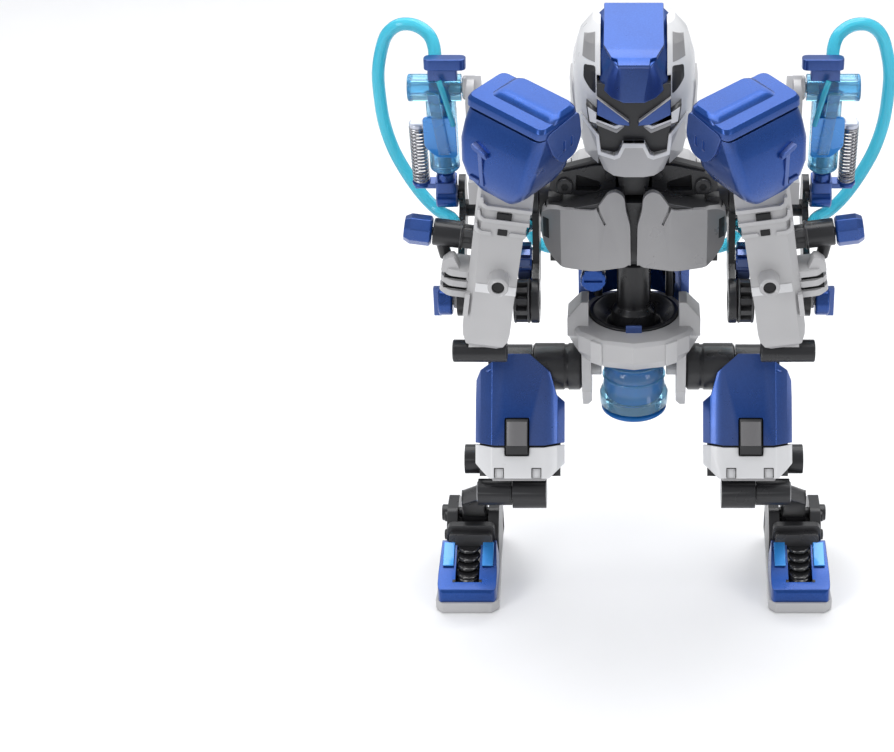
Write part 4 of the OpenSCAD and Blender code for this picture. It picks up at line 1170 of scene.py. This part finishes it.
def make_cylinder_front():
    """The brace, the clear strip and the fluid channel on the cylinder's front, and the spring's anchor."""
    brace = prism("y", [(-5.8, -27), (2, -27), (6.6, -22), (6.6, -9), (-5.8, -9)], -7.4, -5.8, 1.8, 6)
    pair("cylinder_brace", brace, "barrel", SKY, 0.3, IN_CYLINDER)
    strip = rounded_loft([(-0.3, 4.3, -8.6, -6.4, 2), (-3.3, 1.3, -8.6, -6.4, -25)], 1)
    pair("cylinder_strip", strip, "barrel", CLEAR, 0.2, IN_CYLINDER)
    channel = sweep([Vector((-0.5, -6.6, 7)), Vector((-2, -7.4, 2)), Vector((-5, -7.6, -12))], 1.1, 10)
    pair("cylinder_channel", channel, "barrel", TUBE, 0, IN_CYLINDER)
    anchor = joined(slab(7.1, 12.1, -2.5, 2.5, -17, -15), slab(4.6, 8, -1.6, 1.6, -17, -15),
                    rod("z", -17.2, -15.4, 3.2, (SPRING_X, 0, 0)))
    pair("spring_anchor", anchor, "barrel", ROD, 0.25, IN_CYLINDER)


def make_piston():
    shaft = rod("z", -ROD_LEN + 4, -13, 2.6)
    seals = [rod("z", z, z + 1.8, BORE_R - 0.1) for z in (-14, -11.4)]
    core = rod("z", -12.4, -11.2, 3.2)
    pair("piston_rod", joined(shaft, *seals, core), "rod", ROD, 0, IN_CYLINDER)
    eye = bored("x", -4.2, 4.2, 4.6, 2.5, (0, 0, -ROD_LEN))
    neck = slab(-4, 4, -4, 4, -ROD_LEN + 3.6, -ROD_LEN + 8.6, 1.2)
    collar = rod("z", -ROD_LEN + 8, -ROD_LEN + 12, 3.6)
    arm = slab(3, SPRING_X + 2.5, -2.5, 2.5, -ROD_LEN + 5, -ROD_LEN + 7.3)
    cup = rod("z", SPRING_LOW - 1.6, SPRING_LOW + 0.2, 3.6, (SPRING_X, 0, 0))
    pair("piston_clevis", joined(eye, neck, collar, arm, cup), "rod", BLUE, 0.3, IN_CYLINDER)


def coil_rise(turn):
    """How far along the spring a turn lies, from 0 to 1. The first and last turns climb at half pitch."""
    slow_turns = min(turn, 1) + max(0, turn - SPRING_TURNS + 1)
    return (turn - slow_turns / 2) / (SPRING_TURNS - 1)


def make_spring():
    coil_r = SPRING_R - WIRE_R
    height = SPRING_TOP - SPRING_LOW - 2 * WIRE_R
    path = []
    for i in range(SPRING_TURNS * COIL_STEPS + 1):
        turn = i / COIL_STEPS
        angle = 2 * math.pi * turn
        path.append(Vector((SPRING_X + coil_r * math.cos(angle), coil_r * math.sin(angle),
                            SPRING_LOW + WIRE_R + height * coil_rise(turn))))
    coil = sweep(path, WIRE_R, 8)
    for side, turn in SIDES.items():
        matrix = TO_WORLD @ turn @ IN_CYLINDER
        spring = place_piece(f"{side}_return_spring", moved(coil, matrix), None, WIRE, 0)
        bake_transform(spring)


# ---------- soft tubes ----------
TUBE_D = 5
TUBES = {
    "loop_tube": ("barrel", "forearm", [
        (75, -4, 222), (75, -2, 228), (77, 0, 233), (82, 2, 236), (88, 3, 236), (93, 5, 232), (96, 7, 225),
        (98, 8, 215), (98, 9, 204), (97, 10, 193), (94, 10, 182), (89, 9, 172), (83, 7, 163.6),
        (77, 4, 158.6), (71.8, -1, 158), (69.8, -6.5, 157.6), (68.8, -10.5, 156.6), (67.2, -13, 155.8),
        (64.5, -13.4, 155.4)]),
    "elbow_tube": ("forearm", "upper_arm", [
        (54.1, -13.4, 154.1), (51.2, -13.2, 153.7), (47.8, -10.8, 153), (45.2, -5.6, 152.2),
        (43.8, 0.6, 151.3), (42.9, 7, 149.6), (42.6, 11.2, 147.9), (42.4, 14, 147.5)]),
    "back_tube": ("upper_arm", "torso", [
        (42.4, 18.1, 147.5), (42.5, 20.8, 147), (42.8, 24, 143.8), (42, 26.2, 138.4), (39.6, 27.2, 133.8),
        (35.8, 26.8, 131.9), (32, 24.8, 132.4), (29.2, 23.2, 134), (26.6, 23, 134.4)]),
}


def make_tubes():
    for name, (first, second, route) in TUBES.items():
        for side, turn in SIDES.items():
            path = [TO_WORLD @ turn @ point for point in smooth_path(route)]
            tube = place_piece(f"{side}_{name}", sweep(path, TUBE_D / 2 * MM, 16), None, TUBE, 0)
            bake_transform(tube)


# ---------- floor ----------
def make_floor():
    mesh = slab(-700, 700, -700, 900, -4, 0)
    floor = bpy.data.objects.new("floor", moved(mesh, TO_WORLD))
    bpy.context.scene.collection.objects.link(floor)
    floor.data.materials.append(FLOOR)


make_camera()
make_studio()
make_tubes()
make_floor()
make_pelvis_ring()
make_bowl()
make_waist_guards()
make_reservoir()
make_hip_barrels()
make_chest()
make_yoke()
make_back()
make_valve()
make_helmet()
make_helmet_trim()
make_crest()
make_face()
make_brows()
make_eyes()
make_jaw()
make_thigh_inside()
make_thigh_shell()
make_knee_guard()
make_latch()
make_shin()
make_ankle_block()
make_foot_shell()
make_foot_spring()
make_foot_sole()
make_arm_frame()
make_drum()
make_forearm()
make_side_bracket()
make_side_fins()
make_knobs()
make_glove()
make_glove_cap()
make_cylinder()
make_cylinder_front()
make_piston()
make_spring()
